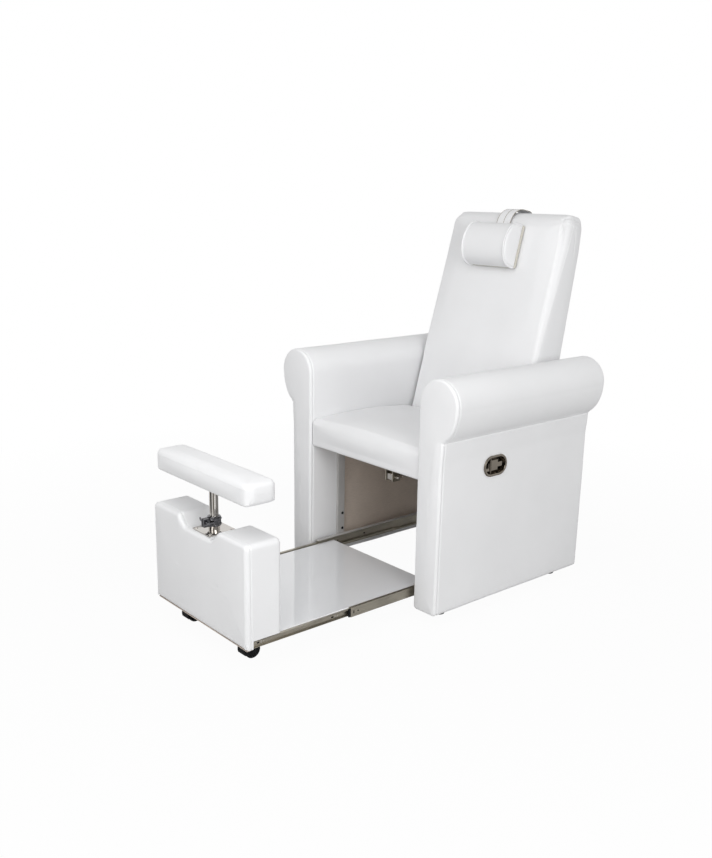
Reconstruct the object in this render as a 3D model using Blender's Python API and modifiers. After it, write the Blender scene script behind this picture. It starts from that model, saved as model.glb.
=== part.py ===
"""Podiatry chair with a pull-out foot rest, in metres, +Z up.

The chair faces -Y and its middle plane is x = 0. Left and right are the sitter's, so left is +X.
Sizes are written in the chair's own frame: y = 0 is the front of the side panels, z = 0 the floor.
The drawer is drawn pulled out. At the end the whole chair is centred over the origin.
"""
import math

import bmesh
import bpy
from mathutils import Euler, Matrix, Vector

# Fits, and how far a cutter reaches past the face that it opens
SEAT_GAP = 0.0003
RUN_GAP = 0.0004
CUT_OVER = 0.010
CUT_TOUCH = 0.001

# Side panels
INNER_X = 0.252
PANEL_DEPTH = 0.670
PANEL_BOTTOM = 0.034
PANEL_FOOT_X = 0.341
PANEL_WAIST_X = 0.345
WAIST_Z = 0.500
CREASE_X = 0.3525
CREASE_Z = 0.5615
TUCK_IN = 0.0045
TUCK_DROP = 0.018
WAIST_FLARE = 0.0025
WAIST_RISE = 0.020
ROLL_RADIUS = 0.0745
ROLL_Z = 0.668
ROLL_DROP = 0.108
PANEL_EDGE = 0.011
PANEL_CORNER = 0.012
PANEL_CROWN = 0.003
PANEL_FACE_BAND = 0.018
SEAM_DEPTH = 0.0018
SEAM_WIDTH = 0.004

# Recess inside each panel, under the seat
NOSE_DEPTH = 0.105
RECESS_REAR_WALL = 0.030
RECESS_X = 0.279
RECESS_BOTTOM = 0.0505
INNER_BOARD = 0.0117
UPRIGHT_X = 0.0218
UPRIGHT_Y = 0.032
UPRIGHT_WALL = 0.002
FRONT_UPRIGHT_Y = 0.132
REAR_UPRIGHT_IN = 0.024

# Feet
FOOT_X = 0.272
FOOT_FRONT_Y = 0.093
FOOT_REAR_IN = 0.054
FOOT_RADIUS = 0.017

# Seat
SEAT_FRONT = 0.009
SEAT_HINGE_GAP = 0.0935
SEAT_TOP = 0.520
SEAT_BOTTOM = 0.430
SEAT_CROWN = 0.012
SEAT_SIDE_GAP = 0.0015
SEAT_EDGE = 0.014
SEAT_NOSE = 0.020
SEAT_LIP = 0.027
SEAT_RISE = 0.006
SEAT_REAR_DROP = 0.006
SEAT_HEM = 0.006
SEAT_APRON_BULGE = 0.002
SEAT_BOARD = 0.015
CROSS_TUBE = 0.025
REAR_TUBE_IN = 0.0215

# Rear panel
REAR_PANEL = 0.014
REAR_PANEL_BOTTOM = 0.112
REAR_PANEL_TOP = 0.440
REAR_PANEL_EDGE = 0.004

# Backrest
HINGE_IN = 0.140
HINGE_Z = 0.470
BACK_TILT = math.radians(15)
BACK_TAPER = math.radians(4.8)
BACK_LENGTH = 0.672
BACK_ROOT = 0.0625
BACK_FRONT = 0.090
BACK_HEEL_ANGLE = 225
BACK_ROOT_ANGLE = 258
BACK_TIP = 0.050
BACK_TIP_REAR = 0.017
BACK_TOP_ANGLE = 80
BACK_HALF = 0.2437
BACK_EDGE = 0.011
BACK_CROWN = 0.006
BACK_CROWN_FADE = 0.12
BACK_SEAM_X = 0.230
BACK_SEAM = 0.0018
BACK_PANEL = 0.008
BACK_PANEL_HALF = 0.225
BACK_PANEL_LENGTH = 0.600
HINGE_PLATE = 0.003
HINGE_PIN = 0.006
HINGE_PLATE_LENGTH = 0.160
HINGE_PLATE_WIDTH = 0.040
HINGE_BRACKET_REACH = 0.048

# Headrest
HEADREST_X = 0.0
PILLOW_WIDTH = 0.192
PILLOW_HEIGHT = 0.140
PILLOW_DROP = 0.003
PILLOW_DEPTH = 0.080
PILLOW_EDGE = 0.007
PILLOW_FULLNESS = 0.8
STRAP_WIDTH = 0.057
STRAP = 0.002
STRAP_TUCK = 0.006
STRAP_TAIL = 0.015
STRAP_ARCH = 0.006
WEIGHT_WIDTH = 0.140
WEIGHT_HEIGHT = 0.160
WEIGHT_DROP = 0.177
WEIGHT_DEPTH = 0.026
WEIGHT_EDGE = 0.004

# Gas spring and its lever
SPRING_Y = 0.140
SPRING_Z = 0.362
LEVER_RADIUS = 0.095
LEVER_ANGLE = math.radians(17.5)
LEVER_PIN = 0.004
LEVER_EYE = 0.011
LEVER_BAR = 0.006
LEVER_BAR_HALF = 0.020
LEVER_BAR_TOP = 0.100
LEVER_BAR_LOW = -0.050
LEVER_EAR = 0.0035
LEVER_ROOT = 0.0085
LEVER_ROOT_UP = 0.011
LEVER_ROOT_IN = 0.0015
EYE_RADIUS = 0.0105
EYE_BORE = 0.0068
EYE_HALF = 0.0120
EYE_DROP = 0.0022
CYLINDER_RADIUS = 0.014
CYLINDER_LENGTH = 0.215
CYLINDER_END = 0.030
CYLINDER_BORE_DEPTH = 0.190
SHANK_RADIUS = 0.006
SHANK_OVERLAP = 0.003
ROD_RADIUS = 0.005
ROD_INSERT = 0.105
HEAD_HALF = 0.0137
HEAD_FRONT = 0.013
HEAD_REAR = 0.030
HEAD_HEIGHT = 0.024
HEAD_EDGE = 0.003
BRACKET_WALL = 0.0035
BRACKET_HALF_LENGTH = 0.016
BRACKET_DROP = 0.014
SPRING_PIN = 0.004
SPRING_PIN_HEAD = 0.007
SPRING_PIN_CAP = 0.003

# Release handle
HANDLE_Y = 0.2315
HANDLE_Z = 0.460
HANDLE_LENGTH = 0.100
HANDLE_HEIGHT = 0.064
HANDLE_FLANGE = 0.004
HANDLE_RIM = 0.007
HANDLE_EDGE = 0.0012
CUP_DEPTH = 0.024
CUP_WALL = 0.002
PADDLE_PIVOT_Y = 0.2190
PADDLE_INSET = 0.0065
PADDLE = 0.0035
PADDLE_EDGE = 0.0008
PADDLE_BODY_LENGTH = 0.028
PADDLE_BODY_HEIGHT = 0.033
PADDLE_TONGUE_LENGTH = 0.019
PADDLE_TONGUE_HEIGHT = 0.015
PADDLE_KNUCKLE = 0.0038
PADDLE_PIN = 0.002
CABLE_RADIUS = 0.002
CABLE_HOLE = 0.0085
CABLE_HOLE_Z = 0.418
CABLE_WELL = 0.020
CABLE_END_Z = 0.452

# Drawer
DRAWER_HALF = 0.2275
DRAWER_REAR = 0.085
DRAWER_TOP = 0.092
DRAWER_BOARD = 0.018
DRAWER_EDGE = 0.001
SLIDE_Z = 0.080
SLIDE_SHEET = 0.0015
SLIDE_WEB_GAP = 0.0012
SLIDE_LIP = 0.0030
SLIDE_LIP_STEP = 0.0008
SLIDE_INNER_GAP = 0.0020
SLIDE_INNER = 0.019
SLIDE_MIDDLE = 0.029
SLIDE_OUTER = 0.038
SLIDE_OUTER_FRONT = 0.022
SLIDE_OUTER_IN = 0.010
SLIDE_MIDDLE_FRONT = -0.233
SLIDE_MIDDLE_REAR = 0.370
SLIDE_INNER_FRONT = -0.565
SLIDE_INNER_REAR = 0.060
RUNNER = 0.002
RUNNER_FLANGE = 0.0146
RUNNER_FRONT = 0.020
RUNNER_IN = 0.0085

# Foot box
BOX_FRONT = -0.589
BOX_REAR = -0.475
BOX_HALF = 0.2385
BOX_TOP = 0.361
BOX_LIP_BOTTOM = 0.067
BOX_LIP = 0.021
BOX_EDGE = 0.012
BOX_CORNER = 0.016
BOX_CROWN = 0.003
BOX_FACE_BAND = 0.016
BOX_HEM = 0.004
NOTCH_FLOOR = 0.3285
NOTCH_FLOOR_HALF = 0.062
NOTCH_TOP_HALF = 0.108

# Foot rest
POST_Y = -0.532
POST_RADIUS = 0.0125
POST_WALL = 0.002
POST_BOTTOM = 0.200
SOCKET_PLATE = 0.003
SOCKET_PLATE_HALF = 0.045
SOCKET_PLATE_CORNER = 0.006
SOCKET_WALL = 0.003
SOCKET_BOTTOM = 0.110
SOCKET_TOP = 0.343
COLLAR_HEIGHT = 0.024
COLLAR_RADIUS = 0.0195
COLLAR_EAR = 0.006
COLLAR_EAR_REACH = 0.037
COLLAR_SLOT = 0.003
CLAMP_SCREW_Y = 0.029
CLAMP_SCREW = 0.003
CLAMP_HEAD = 0.0055
CLAMP_BAR_HALF = 0.0115
CLAMP_BAR = 0.0025
CLAMP_REACH = 0.030
CLAMP_KNOB = 0.008
CLAMP_NUT = 0.003
CLAMP_TAIL = 0.005
CLAMP_STEP = 0.001
PAD_BOTTOM = 0.460
PAD_THICK = 0.064
PAD_LENGTH = 0.476
PAD_DEPTH = 0.104
PAD_CORNER = 0.017
PAD_EDGE = 0.017
PAD_CROWN = 0.004
PAD_PLATE = 0.003
PAD_PLATE_LENGTH = 0.200
PAD_PLATE_DEPTH = 0.070
PAD_PLATE_CORNER = 0.008
PAD_HUB_WALL = 0.0035
PAD_HUB_HEIGHT = 0.010

# Casters
CASTER_X = 0.148
CASTER_Y = -0.535
CASTER_PLATE = 0.002
CASTER_PLATE_HALF = 0.019
CASTER_STEM = 0.0075
CASTER_BOSS = 0.011
CASTER_TRAIL = 0.016
CASTER_WEB_SHARE = 0.55
CASTER_NECK_FRONT = 0.006
CASTER_NECK_REAR = 0.008
CASTER_BOSS_SHARE = 0.80
CASTER_STEM_LENGTH = 0.006
CASTER_STEM_ROOT = 0.004
WHEEL_RADIUS = 0.024
WHEEL_WIDTH = 0.014
WHEEL_TREAD = 0.003
AXLE_RADIUS = 0.003
HOOD_WEB = 0.007
HOOD_WALL = 0.0025
HOOD_CLEAR = 0.002
LANE_SHARE = 0.75

# Worked out from the sizes above
RECESS_REAR = PANEL_DEPTH - RECESS_REAR_WALL
REAR_UPRIGHT_Y = RECESS_REAR - REAR_UPRIGHT_IN
FOOT_REAR_Y = PANEL_DEPTH - FOOT_REAR_IN
HINGE_Y = PANEL_DEPTH - HINGE_IN
SEAT_REAR = HINGE_Y - SEAT_HINGE_GAP
REAR_TUBE_Y = SEAT_REAR - REAR_TUBE_IN
SLIDE_OUTER_REAR = RECESS_REAR - SLIDE_OUTER_IN
RUNNER_REAR = RECESS_REAR - RUNNER_IN
PILLOW_HIGH = BACK_LENGTH - PILLOW_DROP
PILLOW_LOW = PILLOW_HIGH - PILLOW_HEIGHT
WEIGHT_HIGH = BACK_LENGTH - WEIGHT_DROP
WEIGHT_LOW = WEIGHT_HIGH - WEIGHT_HEIGHT
STRAP_FRONT_END = PILLOW_LOW + STRAP_TUCK
STRAP_REAR_END = WEIGHT_HIGH - STRAP_TAIL
CUP_FACE_X = PANEL_WAIST_X + SEAT_GAP
UPRIGHT_INNER_X = RECESS_X - INNER_BOARD - UPRIGHT_X - 2 * SEAT_GAP
RECESS_TOP = SEAT_BOTTOM - SEAT_GAP
RUNNER_X = UPRIGHT_INNER_X - SEAT_GAP
SLIDE_X = RUNNER_X - RUNNER - SEAT_GAP
COLLAR_Z = SOCKET_TOP + SEAT_GAP
CLAMP_Z = COLLAR_Z + COLLAR_HEIGHT / 2

WHITE_LEATHER = ("white_leather", (0.86, 0.86, 0.85), 0.42, 0.0)
WHITE_LAMINATE = ("white_laminate", (0.88, 0.88, 0.89), 0.12, 0.0)
PLYWOOD = ("plywood", (0.46, 0.38, 0.30), 0.70, 0.0)
ZINC = ("zinc_steel", (0.62, 0.63, 0.62), 0.38, 1.0)
CHROME = ("chrome", (0.78, 0.78, 0.80), 0.06, 1.0)
WHITE_STEEL = ("painted_steel", (0.78, 0.78, 0.77), 0.35, 0.2)
BLACK_STEEL = ("black_steel", (0.03, 0.03, 0.03), 0.40, 0.6)
BLACK_PLASTIC = ("black_plastic", (0.02, 0.02, 0.02), 0.45, 0.0)
BLACK_RUBBER = ("black_rubber", (0.03, 0.03, 0.03), 0.75, 0.0)

SIDES = (("left", 1), ("right", -1))


def clear_scene():
    """Remove every object that the file opened with."""
    for obj in list(bpy.data.objects):
        bpy.data.objects.remove(obj, do_unlink=True)


def new_collection(name):
    """A collection in the scene."""
    collection = bpy.data.collections.new(name)
    bpy.context.scene.collection.children.link(collection)
    return collection


def material(finish):
    """A Principled material from (name, colour, roughness, metallic)."""
    name, colour, roughness, metallic = finish
    found = bpy.data.materials.get(name)
    if found:
        return found
    made = bpy.data.materials.new(name)
    made.use_nodes = True
    shader = made.node_tree.nodes["Principled BSDF"]
    shader.inputs["Base Color"].default_value = (*colour, 1.0)
    shader.inputs["Roughness"].default_value = roughness
    shader.inputs["Metallic"].default_value = metallic
    made.diffuse_color = (*colour, 1.0)
    return made


def pivot(name, place, parent=None):
    """An empty on a joint's axis, placed in the chair's frame."""
    empty = bpy.data.objects.new(name, None)
    empty.empty_display_size = 0.03
    PARTS.objects.link(empty)
    empty["place"] = Vector(place)
    empty.parent = parent
    empty.location = Vector(place) - (Vector(parent["place"]) if parent else Vector())
    return empty


def finish(obj, parent, look):
    """Put a sub-part under its pivot, in the parts collection, with its material."""
    for collection in list(obj.users_collection):
        collection.objects.unlink(obj)
    PARTS.objects.link(obj)
    obj.location = obj.location - Vector(parent["place"])
    obj.parent = parent
    obj.data.materials.clear()
    obj.data.materials.append(material(look))
    if obj.type == "MESH":
        obj.data.shade_smooth()
        obj.data.set_sharp_from_angle(angle=math.radians(35))
    return obj


def hidden(obj):
    """Make an object a cutter: shown as wire, and left out of renders."""
    for collection in list(obj.users_collection):
        collection.objects.unlink(obj)
    CUTTERS.objects.link(obj)
    obj.hide_render = True
    obj.display_type = "WIRE"
    obj.parent = CHAIR
    return obj


def from_bmesh(name, mesh_data):
    """An object from a bmesh, with its faces turned outwards."""
    bmesh.ops.recalc_face_normals(mesh_data, faces=mesh_data.faces)
    mesh = bpy.data.meshes.new(name)
    mesh_data.to_mesh(mesh)
    mesh_data.free()
    obj = bpy.data.objects.new(name, mesh)
    PARTS.objects.link(obj)
    return obj


def box(name, low, high, bevel=0.0, segments=1, turn=(0.0, 0.0, 0.0)):
    """A box between two corners, turned about its centre, with its edges rounded."""
    low, high = Vector(low), Vector(high)
    cube = bmesh.new()
    bmesh.ops.create_cube(cube, size=1.0, matrix=Matrix.Diagonal((*(high - low), 1.0)))
    obj = from_bmesh(name, cube)
    obj.location = (low + high) / 2
    obj.rotation_euler = Euler(turn)
    if bevel:
        rounding = obj.modifiers.new("edges", "BEVEL")
        rounding.width = bevel
        rounding.segments = segments
    return obj


def cylinder(name, start, end, radius, sides=24):
    """A cylinder from one point to another."""
    start, end = Vector(start), Vector(end)
    along = end - start
    rod = bmesh.new()
    bmesh.ops.create_cone(
        rod, cap_ends=True, segments=sides, radius1=radius, radius2=radius, depth=along.length
    )
    obj = from_bmesh(name, rod)
    obj.location = (start + end) / 2
    obj.rotation_euler = along.to_track_quat("Z", "Y").to_euler()
    return obj


def turned(name, profile, place, axis="Z", sides=24):
    """A closed profile of (radius, height) points, spun about an axis through place."""
    mesh = bpy.data.meshes.new(name)
    points = [(radius, 0.0, height) for radius, height in profile]
    closed = all(radius > 0 for radius, height in profile)
    edges = [(i, i + 1) for i in range(len(points) - 1)]
    if closed:
        edges.append((len(points) - 1, 0))
    mesh.from_pydata(points, edges, [])
    obj = bpy.data.objects.new(name, mesh)
    PARTS.objects.link(obj)
    spin = obj.modifiers.new("spin", "SCREW")
    spin.steps = sides
    spin.render_steps = sides
    spin.use_merge_vertices = True
    spin.merge_threshold = 0.00001
    obj.location = Vector(place)
    if axis == "X":
        obj.rotation_euler = Euler((0, math.radians(90), 0))
    return solid(obj)


def solid(obj):
    """The evaluated shape of an object as a plain welded mesh under the same name."""
    bpy.context.view_layer.update()
    graph = bpy.context.evaluated_depsgraph_get()
    mesh = bpy.data.meshes.new_from_object(obj.evaluated_get(graph))
    welded = bmesh.new()
    welded.from_mesh(mesh)
    bmesh.ops.remove_doubles(welded, verts=welded.verts, dist=0.00001)
    name, place, turn = obj.name, obj.location.copy(), obj.rotation_euler.copy()
    bpy.data.objects.remove(obj, do_unlink=True)
    bpy.data.meshes.remove(mesh)
    made = from_bmesh(name, welded)
    made.location, made.rotation_euler = place, turn
    return made


def extruded(name, outlines, start, end, axis, bevel=0.0, segments=1):
    """Flat outlines, the first one filled and the rest cut out, drawn out along an axis.

    On axis X an outline's points are (y, z), on Y they are (x, z), and on Z they are (x, y).
    """
    curve = bpy.data.curves.new(name, "CURVE")
    curve.dimensions = "2D"
    curve.fill_mode = "BOTH"
    curve.extrude = abs(end - start) / 2
    for outline in outlines:
        spline = curve.splines.new("POLY")
        spline.points.add(len(outline) - 1)
        spline.use_cyclic_u = True
        for point, (u, v) in zip(spline.points, outline):
            point.co = (u, v, 0.0, 1.0)
    obj = bpy.data.objects.new(name, curve)
    PARTS.objects.link(obj)
    turns = {
        "X": Matrix(((0, 0, 1), (1, 0, 0), (0, 1, 0))),
        "Y": Matrix(((1, 0, 0), (0, 0, -1), (0, 1, 0))),
        "Z": Matrix.Identity(3),
    }
    obj.rotation_euler = turns[axis].to_euler()
    obj.location["XYZ".index(axis)] = (start + end) / 2
    made = solid(obj)
    if bevel:
        rounding = made.modifiers.new("edges", "BEVEL")
        rounding.width = bevel
        rounding.segments = segments
        rounding.angle_limit = math.radians(50)
    return made


def cut(obj, cutter, operation="DIFFERENCE"):
    """Cut, or join, an object with a hidden second one."""
    hidden(cutter)
    boolean = obj.modifiers.new(cutter.name, "BOOLEAN")
    boolean.operation = operation
    boolean.solver = "EXACT"
    boolean.object = cutter
    return obj


def arc(centre, radius, start, end, steps, drop=None):
    """Points on an arc in degrees. drop is the second half axis where the arc is an ellipse's."""
    tall = drop or radius
    angles = [math.radians(start + (end - start) * i / steps) for i in range(steps + 1)]
    return [(centre[0] + radius * math.cos(a), centre[1] + tall * math.sin(a)) for a in angles]


def stadium(centre, length, height, steps=8):
    """An outline with straight long sides and round ends."""
    radius = height / 2
    reach = length / 2 - radius
    u, v = centre
    return arc((u + reach, v), radius, -90, 90, steps) + arc((u - reach, v), radius, 90, 270, steps)


def rounded_rectangle(low, high, radius, steps=3):
    """A rectangle's outline with round corners."""
    (u0, v0), (u1, v1) = low, high
    return (
        arc((u1 - radius, v0 + radius), radius, -90, 0, steps)
        + arc((u1 - radius, v1 - radius), radius, 0, 90, steps)
        + arc((u0 + radius, v1 - radius), radius, 90, 180, steps)
        + arc((u0 + radius, v0 + radius), radius, 180, 270, steps)
    )


def capsule(first, first_radius, second, second_radius, steps=6):
    """The outline round two circles and their common tangents."""
    along = Vector(second) - Vector(first)
    heading = math.degrees(math.atan2(along.y, along.x))
    lean = math.degrees(math.acos((first_radius - second_radius) / along.length))
    return arc(second, second_radius, heading - lean, heading + lean, steps) + arc(
        first, first_radius, heading + lean, heading + 360 - lean, steps
    )


def divided(outline, longest):
    """The same outline with its long edges split into equal pieces."""
    points = []
    for first, second in zip(outline, outline[1:] + outline[:1]):
        edge = Vector(second) - Vector(first)
        pieces = max(1, math.ceil(edge.length / longest))
        points += [tuple(Vector(first) + edge * i / pieces) for i in range(pieces)]
    return points


def inset(outline, depth):
    """A counter-clockwise outline moved inwards by depth, square to its edges."""
    moved = []
    count = len(outline)
    for i in range(count):
        before = Vector(outline[i]) - Vector(outline[i - 1])
        after = Vector(outline[(i + 1) % count]) - Vector(outline[i])
        left = Vector((-before.y, before.x)).normalized() + Vector((-after.y, after.x)).normalized()
        half = left.length / 2
        moved.append(Vector(outline[i]) + left.normalized() * depth / max(half, 0.5))
    return moved


def round_end(place, inward, radius, steps=3):
    """Stations (place along the axis, inset) of a rounded end, from its flat face inwards."""
    angles = [math.pi / 2 * i / steps for i in range(steps + 1)]
    return [(place + inward * radius * (1 - math.cos(a)), radius * (1 - math.sin(a))) for a in angles]


def loft(name, rings):
    """A closed skin through rings of as many points each, with a flat cap at either end."""
    skin = bmesh.new()
    loops = [[skin.verts.new(point) for point in ring] for ring in rings]
    count = len(loops[0])
    for first, second in zip(loops, loops[1:]):
        for i in range(count):
            j = (i + 1) % count
            skin.faces.new((first[i], first[j], second[j], second[i]))
    skin.faces.new(loops[0])
    skin.faces.new(loops[-1])
    return from_bmesh(name, skin)


def padded(name, outline, stations, place):
    """A stuffed form: an outline carried along stations (distance, inset), set in space by place."""
    rings = []
    for distance, depth in stations:
        ring = inset(outline, depth) if depth else [Vector(point) for point in outline]
        rings.append([place(point.x, point.y, distance) for point in ring])
    return loft(name, rings)


def panel_outline():
    """Front view of the left panel: flat inner face, rolled arm, tuck under the roll, tapered slab."""
    centre = (INNER_X + ROLL_RADIUS, ROLL_Z)
    corner = PANEL_CORNER
    slab = [
        (CREASE_X - TUCK_IN, CREASE_Z - TUCK_DROP),
        (PANEL_WAIST_X + WAIST_FLARE, WAIST_Z + WAIST_RISE),
        (PANEL_WAIST_X, WAIST_Z),
    ]
    roll_over = arc(centre, ROLL_RADIUS, 180, 0, 12)
    roll_under = arc(centre, ROLL_RADIUS, -14, -66, 4, ROLL_DROP)
    foot = arc((PANEL_FOOT_X - corner, PANEL_BOTTOM + corner), corner, 0, -90, 3)
    heel = arc((INNER_X + corner, PANEL_BOTTOM + corner), corner, -90, -180, 3)
    outline = roll_over + roll_under + [(CREASE_X, CREASE_Z)] + slab + foot + heel
    return outline[::-1]


def panel_stations():
    """A sewn front edge with its seam and crowned face, and a plain rounded rear edge."""
    edge = PANEL_EDGE
    front = [
        (-PANEL_CROWN, edge + SEAM_WIDTH + PANEL_FACE_BAND),
        (0.0, edge + SEAM_WIDTH),
        (SEAM_DEPTH, edge + SEAM_WIDTH / 2),
    ]
    return front + round_end(0.0, 1, edge) + round_end(PANEL_DEPTH, -1, edge)[::-1]


def build_panels():
    """Both side panels with the recess under the seat, and in the left one the handle's pocket."""
    outline = panel_outline()
    for side, sign in SIDES:
        panel = padded(
            side + "_arm", outline, panel_stations(), lambda u, v, t, sign=sign: Vector((sign * u, t, v))
        )
        finish(panel, CHAIR, WHITE_LEATHER)
        recess = (sign * (INNER_X - CUT_OVER), sign * RECESS_X)
        cut(
            panel,
            box(
                side + "_recess",
                (min(recess), NOSE_DEPTH, RECESS_BOTTOM),
                (max(recess), RECESS_REAR, RECESS_TOP),
            ),
        )
        if sign > 0:
            centre = (HANDLE_Y, HANDLE_Z)
            trim = 2 * (HANDLE_RIM - CUP_WALL - 2 * SEAT_GAP)
            pocket = stadium(centre, HANDLE_LENGTH - trim, HANDLE_HEIGHT - trim)
            floor = CUP_FACE_X - CUP_DEPTH - SEAT_GAP
            cut(panel, extruded("handle_pocket", [pocket], floor, PANEL_WAIST_X + 2 * CUT_OVER, "X"))
            half = CABLE_WELL / 2
            cut(
                panel,
                box(
                    "cable_well",
                    (RECESS_X - CUT_TOUCH, HANDLE_Y - half, CABLE_HOLE_Z - half),
                    (floor + CUT_TOUCH, HANDLE_Y + half, CABLE_END_Z + half),
                ),
            )


def build_panel_frames():
    """Inner boards and steel uprights in the panels' recesses."""
    for side, sign in SIDES:
        board_out = RECESS_X - SEAT_GAP
        board_x = (sign * board_out, sign * (board_out - INNER_BOARD))
        board = box(
            side + "_inner_board",
            (min(board_x), NOSE_DEPTH + SEAT_GAP, RECESS_BOTTOM + SEAT_GAP),
            (max(board_x), RECESS_REAR - SEAT_GAP, RECESS_TOP - SEAT_GAP),
        )
        finish(board, CHAIR, PLYWOOD)
        if sign > 0:
            hole = cylinder(
                "cable_hole",
                (RECESS_X - 2 * INNER_BOARD, HANDLE_Y, CABLE_HOLE_Z),
                (RECESS_X + INNER_BOARD, HANDLE_Y, CABLE_HOLE_Z),
                CABLE_HOLE,
                16,
            )
            cut(board, hole)
        for end, middle in (("front", FRONT_UPRIGHT_Y), ("rear", REAR_UPRIGHT_Y)):
            x0 = sign * UPRIGHT_INNER_X
            x1 = sign * (UPRIGHT_INNER_X + UPRIGHT_X)
            low = Vector((min(x0, x1), middle - UPRIGHT_Y / 2))
            high = Vector((max(x0, x1), middle + UPRIGHT_Y / 2))
            wall = Vector((UPRIGHT_WALL, UPRIGHT_WALL))
            outer = rounded_rectangle(low, high, 2 * UPRIGHT_WALL, 2)
            inner = rounded_rectangle(low + wall, high - wall, UPRIGHT_WALL, 2)
            upright = extruded(
                f"{side}_{end}_upright",
                [outer, inner],
                RECESS_BOTTOM + SEAT_GAP,
                RECESS_TOP - SEAT_GAP,
                "Z",
            )
            finish(upright, CHAIR, WHITE_STEEL)


def build_feet():
    """Four black glides under the panels."""
    top = PANEL_BOTTOM - SEAT_GAP
    radius = FOOT_RADIUS
    profile = [
        (0.0, top),
        (0.8 * radius, top),
        (0.8 * radius, 0.45 * top),
        (radius, 0.25 * top),
        (radius, 0.08 * top),
        (0.9 * radius, 0.0),
        (0.0, 0.0),
    ]
    for side, sign in SIDES:
        for end, middle in (("front", FOOT_FRONT_Y), ("rear", FOOT_REAR_Y)):
            foot = turned(f"{side}_{end}_foot", profile, (sign * FOOT_X, middle, 0.0), sides=16)
            finish(foot, CHAIR, BLACK_PLASTIC)


def seat_outline():
    """Side view of the seat cushion: square apron, round nose, crowned top, step for the board."""
    nose = SEAT_NOSE
    under = SEAT_BOTTOM + SEAT_BOARD + SEAT_GAP
    depth = SEAT_REAR - SEAT_FRONT
    shares = (0.25, 0.45, 0.65)
    top = [(SEAT_FRONT + depth * s, SEAT_TOP + SEAT_RISE * 4 * s * (1 - s)) for s in shares]
    heel = arc((SEAT_REAR - nose, SEAT_TOP - SEAT_REAR_DROP - nose), nose, 90, 0, 3)
    front = arc((SEAT_FRONT + nose, SEAT_TOP - nose), nose, 180, 90, 4)
    lip = [
        (SEAT_REAR, under),
        (SEAT_FRONT + SEAT_LIP, under),
        (SEAT_FRONT + SEAT_LIP, SEAT_BOTTOM),
        (SEAT_FRONT + SEAT_HEM, SEAT_BOTTOM),
        (SEAT_FRONT, SEAT_BOTTOM + SEAT_HEM),
        (SEAT_FRONT - SEAT_APRON_BULGE, (SEAT_BOTTOM + SEAT_TOP) / 2),
    ]
    return (front + top + heel + lip)[::-1]


def build_seat():
    """Seat cushion on its board, and the two cross tubes that carry the board."""
    half = INNER_X - SEAT_SIDE_GAP
    middle_z = (SEAT_BOTTOM + SEAT_TOP) / 2
    middle = [(share * half, 0.0) for share in (-0.6, -0.3, 0.0, 0.3, 0.6)]
    stations = round_end(-half, 1, SEAT_EDGE) + middle + round_end(half, -1, SEAT_EDGE)[::-1]

    def place(u, v, t):
        crown = SEAT_CROWN * (1 - (t / half) ** 2) if v > middle_z + SEAT_EDGE else 0.0
        return Vector((t, u, v + crown * min(1.0, (u - SEAT_FRONT) / SEAT_NOSE)))

    finish(padded("seat_cushion", seat_outline(), stations, place), CHAIR, WHITE_LEATHER)
    board_half = INNER_X - SEAT_SIDE_GAP / 3
    board = box(
        "seat_board",
        (-board_half, SEAT_FRONT + SEAT_LIP + SEAT_GAP, SEAT_BOTTOM),
        (board_half, SEAT_REAR - 2 * SEAT_GAP, SEAT_BOTTOM + SEAT_BOARD),
    )
    finish(board, CHAIR, PLYWOOD)
    top = SEAT_BOTTOM - SEAT_GAP
    front_reach = UPRIGHT_INNER_X - SEAT_GAP
    rear_reach = UPRIGHT_INNER_X + UPRIGHT_X
    tubes = (("front", FRONT_UPRIGHT_Y, front_reach), ("rear", REAR_TUBE_Y, rear_reach))
    for end, middle_y, reach in tubes:
        low = Vector((middle_y - CROSS_TUBE / 2, top - CROSS_TUBE))
        high = Vector((middle_y + CROSS_TUBE / 2, top))
        wall = Vector((UPRIGHT_WALL, UPRIGHT_WALL))
        outer = rounded_rectangle(low, high, 2 * UPRIGHT_WALL, 2)
        inner = rounded_rectangle(low + wall, high - wall, UPRIGHT_WALL, 2)
        finish(extruded(end + "_cross_tube", [outer, inner], -reach, reach, "X"), CHAIR, WHITE_STEEL)


def build_rear_panel():
    """Upholstered board that closes the back under the backrest, on the rear uprights."""
    front = REAR_UPRIGHT_Y + UPRIGHT_Y / 2 + SEAT_GAP
    half = INNER_X - SEAT_SIDE_GAP / 3
    panel = box(
        "rear_panel",
        (-half, front, REAR_PANEL_BOTTOM),
        (half, front + REAR_PANEL, REAR_PANEL_TOP),
        REAR_PANEL_EDGE,
        2,
    )
    finish(panel, CHAIR, WHITE_LEATHER)


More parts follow.
